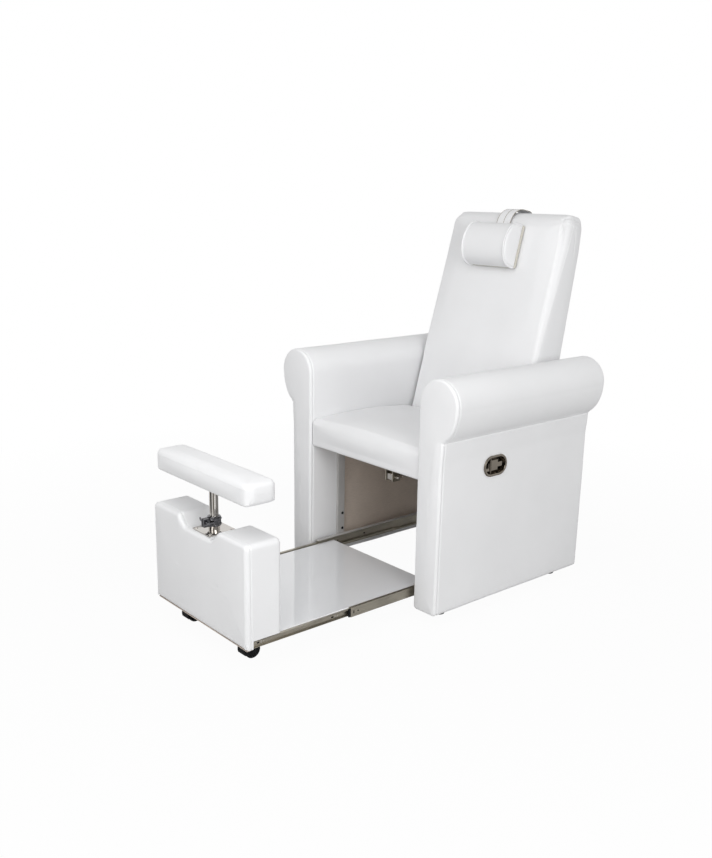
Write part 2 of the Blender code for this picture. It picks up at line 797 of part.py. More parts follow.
class Back:
    """Side view of the backrest: a round root, a front face at the tilt, a tapering rear and a soft top."""

    hinge = Vector((HINGE_Y, HINGE_Z))
    up = Vector((math.sin(BACK_TILT), math.cos(BACK_TILT)))
    rearward = Vector((math.cos(BACK_TILT), -math.sin(BACK_TILT)))
    foot = hinge - rearward * BACK_FRONT
    tip = foot + up * BACK_LENGTH + rearward * BACK_TIP
    rear_tilt = BACK_TILT - BACK_TAPER
    rear_up = Vector((math.sin(rear_tilt), math.cos(rear_tilt)))
    rear_out = Vector((math.cos(rear_tilt), -math.sin(rear_tilt)))
    rear_foot = hinge + rear_out * BACK_ROOT

    @classmethod
    def front(cls, height, proud):
        """A point at a height along the front face and a distance in front of it."""
        return cls.foot + cls.up * height - cls.rearward * proud

    @classmethod
    def rear(cls, height, proud):
        """A point at a height along the rear face and a distance behind it."""
        return cls.rear_foot + cls.rear_up * height + cls.rear_out * proud

    @classmethod
    def crown(cls, x):
        """How far the front face swells at a distance from the middle."""
        return BACK_CROWN * (1 - (x / BACK_HALF) ** 2)

    @classmethod
    def swollen(cls, point, x):
        """A point of the side view moved forwards by the crown, fading round the two ends."""
        height = (point - cls.foot).dot(cls.up)
        depth = (point - cls.foot).dot(cls.rearward)
        along = min(max(height / BACK_LENGTH, 0.0), 1.0)
        thick = BACK_FRONT + BACK_ROOT - BACK_LENGTH * math.tan(BACK_TAPER) * along
        share = max(0.0, 1 - depth / thick)
        fade = min(max(height / BACK_CROWN_FADE, 0.0), 1.0)
        return point - cls.rearward * cls.crown(x) * share * share * fade

    @classmethod
    def rear_tip(cls):
        """Centre of the rear top corner: under the top line and inside the rear face."""
        turn = math.radians(BACK_TOP_ANGLE)
        top = Vector((math.cos(turn), math.sin(turn)))
        level = cls.tip.dot(top) + BACK_TIP - BACK_TIP_REAR
        depth = cls.rear_foot.dot(cls.rear_out) - BACK_TIP_REAR
        lean = top.dot(cls.rear_out)
        share = 1 - lean * lean
        return top * ((level - lean * depth) / share) + cls.rear_out * ((depth - lean * level) / share)

    @classmethod
    def over_top(cls, proud, steps=8):
        """Points from the front face over the top to the rear face, each as far out as proud(share) says."""
        front = 180 - math.degrees(BACK_TILT)
        rear = -math.degrees(cls.rear_tilt)
        points = []
        for centre, radius, start, end in (
            (cls.tip, BACK_TIP, front, BACK_TOP_ANGLE),
            (cls.rear_tip(), BACK_TIP_REAR, BACK_TOP_ANGLE, rear),
        ):
            for i in range(steps + 1):
                angle = start + (end - start) * i / steps
                reach = radius + proud((front - angle) / (front - rear))
                turn = math.radians(angle)
                points.append(centre + Vector((math.cos(turn), math.sin(turn))) * reach)
        return points

    @classmethod
    def underside(cls, steps=8):
        """Points round the hinge: the front's own arc, a soft step inwards and the rear's smaller arc."""
        front = 180 - math.degrees(BACK_TILT)
        rear = 360 - math.degrees(cls.rear_tilt)
        turns = (front, BACK_HEEL_ANGLE, BACK_ROOT_ANGLE, rear)
        points = []
        for start, end in zip(turns, turns[1:]):
            for i in range(steps):
                angle = start + (end - start) * i / steps
                share = min(max((angle - BACK_HEEL_ANGLE) / (BACK_ROOT_ANGLE - BACK_HEEL_ANGLE), 0.0), 1.0)
                eased = (1 + math.cos(math.pi * share)) / 2
                reach = BACK_ROOT + (BACK_FRONT - BACK_ROOT) * eased
                turn = math.radians(angle)
                points.append(cls.hinge + Vector((math.cos(turn), math.sin(turn))) * reach)
        return points + [cls.rear_foot]

    @classmethod
    def outline(cls):
        """The side view as (y, z) points, counter-clockwise."""
        top = cls.over_top(lambda share: 0.0)
        return divided([tuple(p) for p in cls.underside() + top[::-1]], BACK_LENGTH / 6)


def rear_board(name, low, high, inner, outer, half, bevel=0.0):
    """A flat board along the rear face between two heights and two distances behind it."""
    middle = Back.rear((low + high) / 2, (inner + outer) / 2)
    size = Vector((half, (outer - inner) / 2, (high - low) / 2))
    centre = Vector((0.0, middle.x, middle.y))
    return box(name, centre - size, centre + size, bevel, 2, (-Back.rear_tilt, 0.0, 0.0))


def build_backrest():
    """Backrest cushion with sewn side seams, and the board let into its rear."""
    flank = [
        (BACK_HALF - BACK_EDGE, 0.0),
        (BACK_SEAM_X + SEAM_WIDTH / 4, 0.0),
        (BACK_SEAM_X, BACK_SEAM),
        (BACK_SEAM_X - SEAM_WIDTH / 2, 0.0),
        (0.66 * BACK_HALF, 0.0),
        (0.33 * BACK_HALF, 0.0),
    ]
    right = round_end(-BACK_HALF, 1, BACK_EDGE)[:-1] + [(-x, depth) for x, depth in flank]
    left = [(-x, depth) for x, depth in right[::-1]]

    def place(u, v, t):
        point = Back.swollen(Vector((u, v)), t)
        return Vector((t, point.x, point.y))

    cushion = padded("backrest_cushion", Back.outline(), right + [(0.0, 0.0)] + left, place)
    finish(cushion, RECLINE, WHITE_LEATHER)
    gap = SEAT_GAP
    socket = rear_board(
        "back_panel_recess",
        -gap,
        BACK_PANEL_LENGTH + gap,
        -BACK_PANEL - gap,
        BACK_PANEL,
        BACK_PANEL_HALF + gap,
    )
    cut(cushion, socket)
    panel = rear_board("backrest_rear_panel", 0.0, BACK_PANEL_LENGTH, -BACK_PANEL, 0.0, BACK_PANEL_HALF)
    finish(panel, RECLINE, WHITE_LEATHER)


def build_hinges():
    """On each side a bracket with its stud on the panel, and a plate on the backrest."""
    hinge = (HINGE_Y, HINGE_Z)
    for side, sign in SIDES:
        plate_in = BACK_HALF + SEAT_GAP
        plate_out = plate_in + HINGE_PLATE
        bracket_in = plate_out + RUN_GAP
        bracket_out = INNER_X - SEAT_GAP
        top = Back.hinge + Back.up * HINGE_PLATE_LENGTH
        half = HINGE_PLATE_WIDTH / 2
        plate = extruded(
            side + "_hinge_plate",
            [capsule(hinge, half, top, 0.7 * half), arc(hinge, HINGE_PIN + RUN_GAP, 0, 345, 23)],
            sign * plate_in,
            sign * plate_out,
            "X",
        )
        finish(plate, RECLINE, ZINC)
        foot = Back.hinge + Vector((HINGE_BRACKET_REACH * 0.6, -HINGE_BRACKET_REACH * 0.25))
        bracket = extruded(
            side + "_hinge_bracket",
            [capsule(hinge, half, foot, 0.6 * half)],
            sign * bracket_in,
            sign * bracket_out,
            "X",
        )
        stud = cylinder(
            side + "_hinge_stud",
            (sign * plate_in, HINGE_Y, HINGE_Z),
            (sign * (bracket_in + bracket_out) / 2, HINGE_Y, HINGE_Z),
            HINGE_PIN,
        )
        cut(bracket, stud, "UNION")
        finish(bracket, CHAIR, ZINC)


def pillow_outline(low, high, depth):
    """Side view of the pillow as (height, distance): flat behind, round in front."""
    middle, half = (low + high) / 2, (high - low) / 2
    bulge = []
    steps = 16
    for i in range(steps + 1):
        a = math.pi * i / steps
        bulge.append((middle + half * math.cos(a), depth * math.sin(a) ** PILLOW_FULLNESS))
    return bulge


def build_headrest():
    """Pillow in front, strap over the top and a counterweight behind."""
    lift = BACK_CROWN + RUN_GAP + STRAP + RUN_GAP
    half = PILLOW_WIDTH / 2
    stations = round_end(-half, 1, PILLOW_EDGE) + [(0.0, 0.0)] + round_end(half, -1, PILLOW_EDGE)[::-1]

    def in_front(u, v, t):
        point = Back.front(u, lift + v)
        return Vector((HEADREST_X + t, point.x, point.y))

    outline = pillow_outline(PILLOW_LOW, PILLOW_HIGH, PILLOW_DEPTH)
    finish(padded("headrest_pillow", outline, stations, in_front), PILLOW, WHITE_LEATHER)

    proud = BACK_CROWN + RUN_GAP

    def over(share):
        return RUN_GAP + BACK_CROWN * (1 - share) + STRAP_ARCH * math.sin(math.pi * share)

    inner = [Back.front(STRAP_FRONT_END, proud)] + Back.over_top(over)
    inner.append(Back.rear(STRAP_REAR_END, RUN_GAP))
    outer = []
    for i, point in enumerate(inner):
        along = inner[min(i + 1, len(inner) - 1)] - inner[max(i - 1, 0)]
        outer.append(point + Vector((-along.y, along.x)).normalized() * STRAP)
    ribbon = [(p.x, p.y) for p in inner + outer[::-1]]
    strap = extruded(
        "headrest_strap", [ribbon], HEADREST_X - STRAP_WIDTH / 2, HEADREST_X + STRAP_WIDTH / 2, "X"
    )
    finish(strap, RECLINE, WHITE_LEATHER)

    behind = RUN_GAP + STRAP + RUN_GAP
    half = WEIGHT_WIDTH / 2
    stations = round_end(-half, 1, WEIGHT_EDGE) + [(0.0, 0.0)] + round_end(half, -1, WEIGHT_EDGE)[::-1]

    def at_rear(u, v, t):
        point = Back.rear(u, behind + v)
        return Vector((HEADREST_X + t, point.x, point.y))

    outline = pillow_outline(WEIGHT_LOW, WEIGHT_HIGH, WEIGHT_DEPTH)
    finish(padded("headrest_counterweight", outline, stations, at_rear), WEIGHT, WHITE_LEATHER)


def lever_pin_place():
    """The lever's pin in the side view, with the back upright."""
    return Back.hinge + Vector((math.sin(LEVER_ANGLE), -math.cos(LEVER_ANGLE))) * LEVER_RADIUS


def build_lever():
    """Lever under the backrest: a bar on the rear board, two ears and the pin for the gas spring."""
    pin = lever_pin_place()
    bar = rear_board(
        "backrest_lever", LEVER_BAR_LOW, LEVER_BAR_TOP, SEAT_GAP, SEAT_GAP + LEVER_BAR, LEVER_BAR_HALF
    )
    root = Back.rear(LEVER_BAR_LOW + LEVER_ROOT_UP, -LEVER_ROOT_IN)
    for name, sign in SIDES:
        ear = extruded(
            name + "_lever_ear",
            [capsule(tuple(root), LEVER_ROOT, tuple(pin), LEVER_EYE)],
            sign * (EYE_HALF + RUN_GAP),
            sign * (EYE_HALF + RUN_GAP + LEVER_EAR),
            "X",
        )
        cut(bar, ear, "UNION")
    reach = EYE_HALF + LEVER_EAR / 2
    cut(bar, cylinder("lever_pin", (-reach, pin.x, pin.y), (reach, pin.x, pin.y), LEVER_PIN, 16), "UNION")
    finish(bar, RECLINE, ZINC)


def build_gas_spring():
    """Front bracket and pin, the rod with its release head, and the cylinder with its eye."""
    front = Vector((SPRING_Y, SPRING_Z))
    pin = lever_pin_place() - Vector((0.0, EYE_DROP))
    along = (pin - front).normalized()
    length = (pin - front).length
    tilt = math.atan2(along.y, along.x)

    def at(distance, x=0.0):
        point = front + along * distance
        return Vector((x, point.x, point.y))

    top = SEAT_BOTTOM - CROSS_TUBE - 2 * SEAT_GAP
    inner = HEAD_HALF + SEAT_GAP
    outer = inner + BRACKET_WALL
    low = SPRING_Z - BRACKET_DROP
    fork = [
        (-outer, low),
        (-inner, low),
        (-inner, top - BRACKET_WALL),
        (inner, top - BRACKET_WALL),
        (inner, low),
        (outer, low),
        (outer, top),
        (-outer, top),
    ]
    bracket = extruded(
        "gas_spring_bracket", [fork], SPRING_Y - BRACKET_HALF_LENGTH, SPRING_Y + BRACKET_HALF_LENGTH, "Y"
    )
    past = outer + CUT_OVER
    cut(bracket, cylinder("bracket_bore", (-past, *front), (past, *front), SPRING_PIN + SEAT_GAP, 16))
    finish(bracket, CHAIR, ZINC)

    reach = outer + SEAT_GAP
    end = reach + SPRING_PIN_CAP
    profile = [
        (0.0, end),
        (SPRING_PIN_HEAD, end),
        (SPRING_PIN_HEAD, reach),
        (SPRING_PIN, reach),
        (SPRING_PIN, -reach),
        (SPRING_PIN_HEAD, -reach),
        (SPRING_PIN_HEAD, -end),
        (0.0, -end),
    ]
    finish(turned("gas_spring_pin", profile, (0.0, *front), "X", 16), CHAIR, ZINC)

    half = Vector((HEAD_HALF, (HEAD_FRONT + HEAD_REAR) / 2, HEAD_HEIGHT / 2))
    centre = at((HEAD_REAR - HEAD_FRONT) / 2)
    rod = box("gas_spring_rod", centre - half, centre + half, HEAD_EDGE, 1, (tilt, 0.0, 0.0))
    rod_end = length - CYLINDER_END - CYLINDER_LENGTH + ROD_INSERT
    cut(rod, cylinder("spring_rod_shaft", at(HEAD_REAR / 2), at(rod_end), ROD_RADIUS, 16), "UNION")
    cut(rod, cylinder("head_bore", at(0.0, -past), at(0.0, past), SPRING_PIN + RUN_GAP, 16))
    finish(rod, SWING, ZINC)

    mouth = length - CYLINDER_END - CYLINDER_LENGTH
    tube = cylinder("gas_spring_cylinder", at(mouth), at(length - CYLINDER_END), CYLINDER_RADIUS, 24)
    shank_start = at(length - CYLINDER_END - SHANK_OVERLAP)
    shank_end = at(length - EYE_RADIUS + SHANK_OVERLAP)
    cut(tube, cylinder("spring_shank", shank_start, shank_end, SHANK_RADIUS, 16), "UNION")
    eye = cylinder("spring_eye", at(length, -EYE_HALF), at(length, EYE_HALF), EYE_RADIUS, 24)
    cut(tube, eye, "UNION")
    cut(tube, cylinder("spring_eye_bore", at(length, -past), at(length, past), EYE_BORE, 24))
    bore_end = at(mouth + CYLINDER_BORE_DEPTH)
    cut(tube, cylinder("spring_bore", at(mouth - CUT_OVER), bore_end, ROD_RADIUS + RUN_GAP, 16))
    finish(tube, STROKE, BLACK_STEEL)


def build_handle():
    """Release handle: chrome cup in the left panel, and a T-shaped paddle on its pin."""
    centre = (HANDLE_Y, HANDLE_Z)
    face = CUP_FACE_X
    rim = 2 * HANDLE_RIM
    wall = 2 * CUP_WALL
    flange = extruded(
        "handle_cup",
        [stadium(centre, HANDLE_LENGTH, HANDLE_HEIGHT)],
        face,
        face + HANDLE_FLANGE,
        "X",
        HANDLE_EDGE,
    )
    body = stadium(centre, HANDLE_LENGTH - rim + wall, HANDLE_HEIGHT - rim + wall)
    cut(flange, extruded("cup_body", [body], face - CUP_DEPTH, face + HANDLE_FLANGE / 2, "X"), "UNION")
    hollow = stadium(centre, HANDLE_LENGTH - rim, HANDLE_HEIGHT - rim)
    cut(flange, extruded("cup_hollow", [hollow], face - CUP_DEPTH + CUP_WALL, face + 2 * CUT_OVER, "X"))
    finish(flange, CHAIR, CHROME)

    pivot_x = face - PADDLE_INSET
    reach = HANDLE_HEIGHT / 2 - HANDLE_RIM - SEAT_GAP
    low = (pivot_x, PADDLE_PIVOT_Y, HANDLE_Z - reach)
    high = (pivot_x, PADDLE_PIVOT_Y, HANDLE_Z + reach)
    finish(cylinder("paddle_pin", low, high, PADDLE_PIN, 12), CHAIR, ZINC)

    body_end = PADDLE_PIVOT_Y + PADDLE_BODY_LENGTH
    tongue_end = body_end + PADDLE_TONGUE_LENGTH
    body_half = PADDLE_BODY_HEIGHT / 2
    tongue_half = PADDLE_TONGUE_HEIGHT / 2
    root = PADDLE_PIVOT_Y - PADDLE_KNUCKLE / 2
    outline = [
        (root, HANDLE_Z - body_half),
        (body_end, HANDLE_Z - body_half),
        (body_end, HANDLE_Z - tongue_half),
        (tongue_end, HANDLE_Z - tongue_half),
        (tongue_end, HANDLE_Z + tongue_half),
        (body_end, HANDLE_Z + tongue_half),
        (body_end, HANDLE_Z + body_half),
        (root, HANDLE_Z + body_half),
    ]
    paddle = extruded("release_paddle", [outline], pivot_x, pivot_x + PADDLE, "X", PADDLE_EDGE)
    knuckle = cylinder(
        "paddle_knuckle",
        (pivot_x, PADDLE_PIVOT_Y, HANDLE_Z - body_half),
        (pivot_x, PADDLE_PIVOT_Y, HANDLE_Z + body_half),
        PADDLE_KNUCKLE,
        16,
    )
    cut(paddle, knuckle, "UNION")
    cut(paddle, cylinder("paddle_bore", low, high, PADDLE_PIN + RUN_GAP, 12))
    finish(paddle, HANDLE, CHROME)


def cable_route():
    """The release cable's own points, from the gas spring's head to the back of the cup."""
    cup_back = CUP_FACE_X - CUP_DEPTH - SEAT_GAP
    end_x = cup_back - CABLE_RADIUS / 2
    return [
        (HEAD_HALF + 0.0005, SPRING_Y + 0.023, SPRING_Z + 0.004),
        (0.050, 0.166, 0.366),
        (0.120, 0.182, 0.367),
        (0.200, 0.218, 0.386),
        (0.248, HANDLE_Y, 0.411),
        (RECESS_X - INNER_BOARD / 2, HANDLE_Y, CABLE_HOLE_Z),
        (0.292, HANDLE_Y, 0.438),
        (0.303, HANDLE_Y, 0.449),
        (end_x, HANDLE_Y, CABLE_END_Z),
    ]


def smooth_path(points, per_span):
    """Points on a Catmull-Rom curve through the given ones."""
    given = [Vector(p) for p in points]
    ends = [2 * given[0] - given[1]] + given + [2 * given[-1] - given[-2]]
    path = []
    for a, b, c, d in zip(ends, ends[1:], ends[2:], ends[3:]):
        for i in range(per_span):
            t = i / per_span
            path.append(
                0.5
                * (2 * b + (c - a) * t + (2 * a - 5 * b + 4 * c - d) * t**2 + (3 * b - a - 3 * c + d) * t**3)
            )
    return path + [given[-1]]


def build_cable():
    """Release cable, held at both ends and by the inner board."""
    path = smooth_path(cable_route(), 5)
    curve = bpy.data.curves.new("release_cable", "CURVE")
    curve.dimensions = "3D"
    curve.bevel_depth = CABLE_RADIUS
    curve.bevel_resolution = 2
    curve.use_fill_caps = True
    spline = curve.splines.new("POLY")
    spline.points.add(len(path) - 1)
    for point, place in zip(spline.points, path):
        point.co = (*place, 1.0)
    cable = bpy.data.objects.new("release_cable", curve)
    PARTS.objects.link(cable)
    finish(solid(cable), CHAIR, BLACK_RUBBER)


def channel(outer_half, inner_half, web, lip, sheet):
    """Section of a slide member as (x, z): a web, and two flanges reaching from it to the lip."""
    turn = 1 if lip > web else -1
    back = web + turn * sheet
    return [
        (web, -outer_half),
        (lip, -outer_half),
        (lip, -inner_half),
        (back, -inner_half),
        (back, inner_half),
        (lip, inner_half),
        (lip, outer_half),
        (web, outer_half),
    ]


def build_slides():
    """Ball slides in three members on each side, and the angle that carries the outer one."""
    inner_web = DRAWER_HALF + SEAT_GAP
    sheet = SLIDE_SHEET
    inner_half = SLIDE_INNER / 2
    race = inner_half + RUN_GAP
    middle_half = SLIDE_MIDDLE / 2
    outer_race = middle_half + RUN_GAP
    middle_web = SLIDE_X - sheet - SLIDE_WEB_GAP
    outer_lip = inner_web + SLIDE_LIP
    middle_lip = outer_lip - SLIDE_LIP_STEP
    inner_lip = middle_web - sheet - SLIDE_INNER_GAP
    members = (
        ("outer", channel(SLIDE_OUTER / 2, outer_race, SLIDE_X, outer_lip, sheet)),
        ("middle", channel(middle_half, race, middle_web, middle_lip, sheet)),
        ("inner", channel(inner_half, inner_half - sheet, inner_web, inner_lip, sheet)),
    )
    spans = {
        "outer": (SLIDE_OUTER_FRONT, SLIDE_OUTER_REAR),
        "middle": (SLIDE_MIDDLE_FRONT, SLIDE_MIDDLE_REAR),
        "inner": (SLIDE_INNER_FRONT, SLIDE_INNER_REAR),
    }
    for side, sign in SIDES:
        homes = {"outer": CHAIR, "middle": MIDDLES[side], "inner": DRAWER}
        for name, section in members:
            outline = [(sign * x, SLIDE_Z + z) for x, z in section]
            member = extruded(f"{side}_{name}_slide", [outline], *spans[name], "Y")
            finish(member, homes[name], ZINC)
        flange_top = SLIDE_Z + SLIDE_OUTER / 2 + SEAT_GAP + RUNNER
        low = SLIDE_Z - SLIDE_OUTER / 2
        angle = [
            (RUNNER_X, low),
            (RUNNER_X, flange_top),
            (RUNNER_X - RUNNER_FLANGE, flange_top),
            (RUNNER_X - RUNNER_FLANGE, flange_top - RUNNER),
            (RUNNER_X - RUNNER, flange_top - RUNNER),
            (RUNNER_X - RUNNER, low),
        ]
        outline = [(sign * x, z) for x, z in angle]
        runner = extruded(side + "_runner_angle", [outline], RUNNER_FRONT, RUNNER_REAR, "Y")
        finish(runner, CHAIR, WHITE_STEEL)


def box_outline():
    """Front view of the foot box with the notch in its top, counter-clockwise."""
    corner = BOX_CORNER
    half = BOX_HALF
    steps = 6
    wall = []
    for i in range(steps + 1):
        share = i / steps
        x = NOTCH_TOP_HALF + (NOTCH_FLOOR_HALF - NOTCH_TOP_HALF) * share
        wall.append((x, BOX_TOP + (NOTCH_FLOOR - BOX_TOP) * (1 - math.cos(math.pi * share)) / 2))
    shoulder = arc((half - corner, BOX_TOP - corner), corner, 0, 90, 4)
    hem = [(half - BOX_HEM, BOX_LIP_BOTTOM), (half, BOX_LIP_BOTTOM + BOX_HEM)]
    right = hem + shoulder + wall
    left = [(-x, z) for x, z in right[::-1]]
    return right + left


def build_drawer():
    """Drawer board and the upholstered foot box that stands on its front end."""
    lip_rear = BOX_FRONT + BOX_LIP
    board = box(
        "drawer_board",
        (-DRAWER_HALF, lip_rear + 2 * SEAT_GAP, DRAWER_TOP - DRAWER_BOARD),
        (DRAWER_HALF, DRAWER_REAR, DRAWER_TOP),
        DRAWER_EDGE,
    )
    finish(board, DRAWER, WHITE_LAMINATE)
    front = [(BOX_FRONT - BOX_CROWN, BOX_EDGE + BOX_FACE_BAND)] + round_end(BOX_FRONT, 1, BOX_EDGE)
    rear = round_end(BOX_REAR, -1, BOX_EDGE)[::-1]
    foot_box = padded("foot_box", box_outline(), front + rear, lambda u, v, t: Vector((u, t, v)))
    finish(foot_box, DRAWER, WHITE_LEATHER)
    seat = DRAWER_TOP + SEAT_GAP
    past = BOX_HALF + CUT_OVER
    cut(
        foot_box,
        box(
            "box_underside",
            (-past, lip_rear + SEAT_GAP, BOX_LIP_BOTTOM - CUT_OVER),
            (past, BOX_REAR + CUT_OVER, seat),
        ),
    )
    radius = POST_RADIUS + RUN_GAP + SOCKET_WALL + SEAT_GAP
    bore_end = (0, POST_Y, BOX_TOP + CUT_OVER)
    cut(foot_box, cylinder("socket_bore", (0, POST_Y, SOCKET_BOTTOM - SEAT_GAP), bore_end, radius))


def ring_profile(inner, outer, low, high):
    """Section of a plain ring as (radius, height), down its outer side."""
    return [(outer, high), (outer, low), (inner, low), (inner, high)]


def build_foot_rest():
    """Plate and socket on the box, clamp collar and handle, post, and the swivelling pad."""
    bore = POST_RADIUS + RUN_GAP
    axis = (0.0, POST_Y, 0.0)
    plate_low = NOTCH_FLOOR + SEAT_GAP
    half = SOCKET_PLATE_HALF
    tube = ring_profile(bore, bore + SOCKET_WALL, SOCKET_BOTTOM, SOCKET_TOP)
    socket = turned("footrest_socket", tube, axis)
    plate = extruded(
        "socket_plate",
        [
            rounded_rectangle((-half, POST_Y - half), (half, POST_Y + half), SOCKET_PLATE_CORNER),
            arc((0.0, POST_Y), bore + SOCKET_WALL / 2, 0, 345, 23),
        ],
        plate_low,
        plate_low + SOCKET_PLATE,
        "Z",
    )
    cut(socket, plate, "UNION")
    finish(socket, DRAWER, CHROME)

    start = math.degrees(math.asin(COLLAR_SLOT / 2 / bore))
    outer_start = math.degrees(math.asin((COLLAR_SLOT / 2 + COLLAR_EAR) / COLLAR_RADIUS))
    centre = (0.0, POST_Y)
    ear_out = COLLAR_SLOT / 2 + COLLAR_EAR
    outline = (
        arc(centre, COLLAR_RADIUS, -90 + outer_start, 270 - outer_start, 24)
        + [(-ear_out, POST_Y - COLLAR_EAR_REACH), (-COLLAR_SLOT / 2, POST_Y - COLLAR_EAR_REACH)]
        + arc(centre, bore, 270 - start, -90 + start, 24)
        + [(COLLAR_SLOT / 2, POST_Y - COLLAR_EAR_REACH), (ear_out, POST_Y - COLLAR_EAR_REACH)]
    )
    collar = extruded("clamp_collar", [outline], COLLAR_Z, COLLAR_Z + COLLAR_HEIGHT, "Z")
    screw_y = POST_Y - CLAMP_SCREW_Y
    bore_start = (-CLAMP_REACH, screw_y, CLAMP_Z)
    bore_end = (CLAMP_REACH, screw_y, CLAMP_Z)
    cut(collar, cylinder("clamp_bore", bore_start, bore_end, CLAMP_SCREW + RUN_GAP, 16))
    finish(collar, DRAWER, CHROME)

    face = ear_out + RUN_GAP
    profile = [
        (0.0, CLAMP_REACH),
        (CLAMP_HEAD, CLAMP_REACH),
        (CLAMP_HEAD, CLAMP_REACH - CLAMP_KNOB),
        (CLAMP_SCREW + CLAMP_STEP, face + CLAMP_NUT + CLAMP_STEP),
        (CLAMP_HEAD, face + CLAMP_NUT),
        (CLAMP_HEAD, face),
        (CLAMP_SCREW, face),
        (CLAMP_SCREW, -face),
        (CLAMP_HEAD, -face),
        (CLAMP_HEAD, -face - CLAMP_TAIL),
        (0.0, -face - CLAMP_TAIL),
    ]
    handle = turned("clamp_handle", profile, (0.0, screw_y, CLAMP_Z), "X", 16)
    bar_x = CLAMP_REACH - CLAMP_KNOB / 2
    bar = cylinder(
        "clamp_bar",
        (bar_x, screw_y - CLAMP_BAR_HALF, CLAMP_Z),
        (bar_x, screw_y + CLAMP_BAR_HALF, CLAMP_Z),
        CLAMP_BAR,
        12,
    )
    cut(handle, bar, "UNION")
    finish(handle, CLAMP, CHROME)

    plate_bottom = PAD_BOTTOM - SEAT_GAP - PAD_PLATE
    post_top = plate_bottom - SEAT_GAP
    post = turned(
        "footrest_post", ring_profile(POST_RADIUS - POST_WALL, POST_RADIUS, POST_BOTTOM, post_top), axis
    )
    finish(post, LIFT, CHROME)

    hub = POST_RADIUS + RUN_GAP
    pad_plate = extruded(
        "pad_plate",
        [
            rounded_rectangle(
                (-PAD_PLATE_LENGTH / 2, POST_Y - PAD_PLATE_DEPTH / 2),
                (PAD_PLATE_LENGTH / 2, POST_Y + PAD_PLATE_DEPTH / 2),
                PAD_PLATE_CORNER,
            )
        ],
        plate_bottom,
        plate_bottom + PAD_PLATE,
        "Z",
    )
    sleeve = turned(
        "pad_hub",
        ring_profile(hub, hub + PAD_HUB_WALL, plate_bottom - PAD_HUB_HEIGHT, plate_bottom + PAD_PLATE / 2),
        axis,
    )
    cut(pad_plate, sleeve, "UNION")
    finish(pad_plate, SWIVEL, BLACK_STEEL)

    outline = rounded_rectangle(
        (POST_Y - PAD_DEPTH / 2, PAD_BOTTOM), (POST_Y + PAD_DEPTH / 2, PAD_BOTTOM + PAD_THICK), PAD_CORNER, 4
    )
    reach = PAD_LENGTH / 2
    middle = [(-0.5 * reach, 0.0), (0.0, 0.0), (0.5 * reach, 0.0)]
    stations = round_end(-reach, 1, PAD_EDGE, 4) + middle + round_end(reach, -1, PAD_EDGE, 4)[::-1]

    def place(u, v, t):
        on_top = v > PAD_BOTTOM + PAD_THICK - PAD_CORNER / 2
        return Vector((t, u, v + (PAD_CROWN * (1 - (t / reach) ** 2) if on_top else 0.0)))

    finish(padded("foot_pad", outline, stations, place), SWIVEL, WHITE_LEATHER)


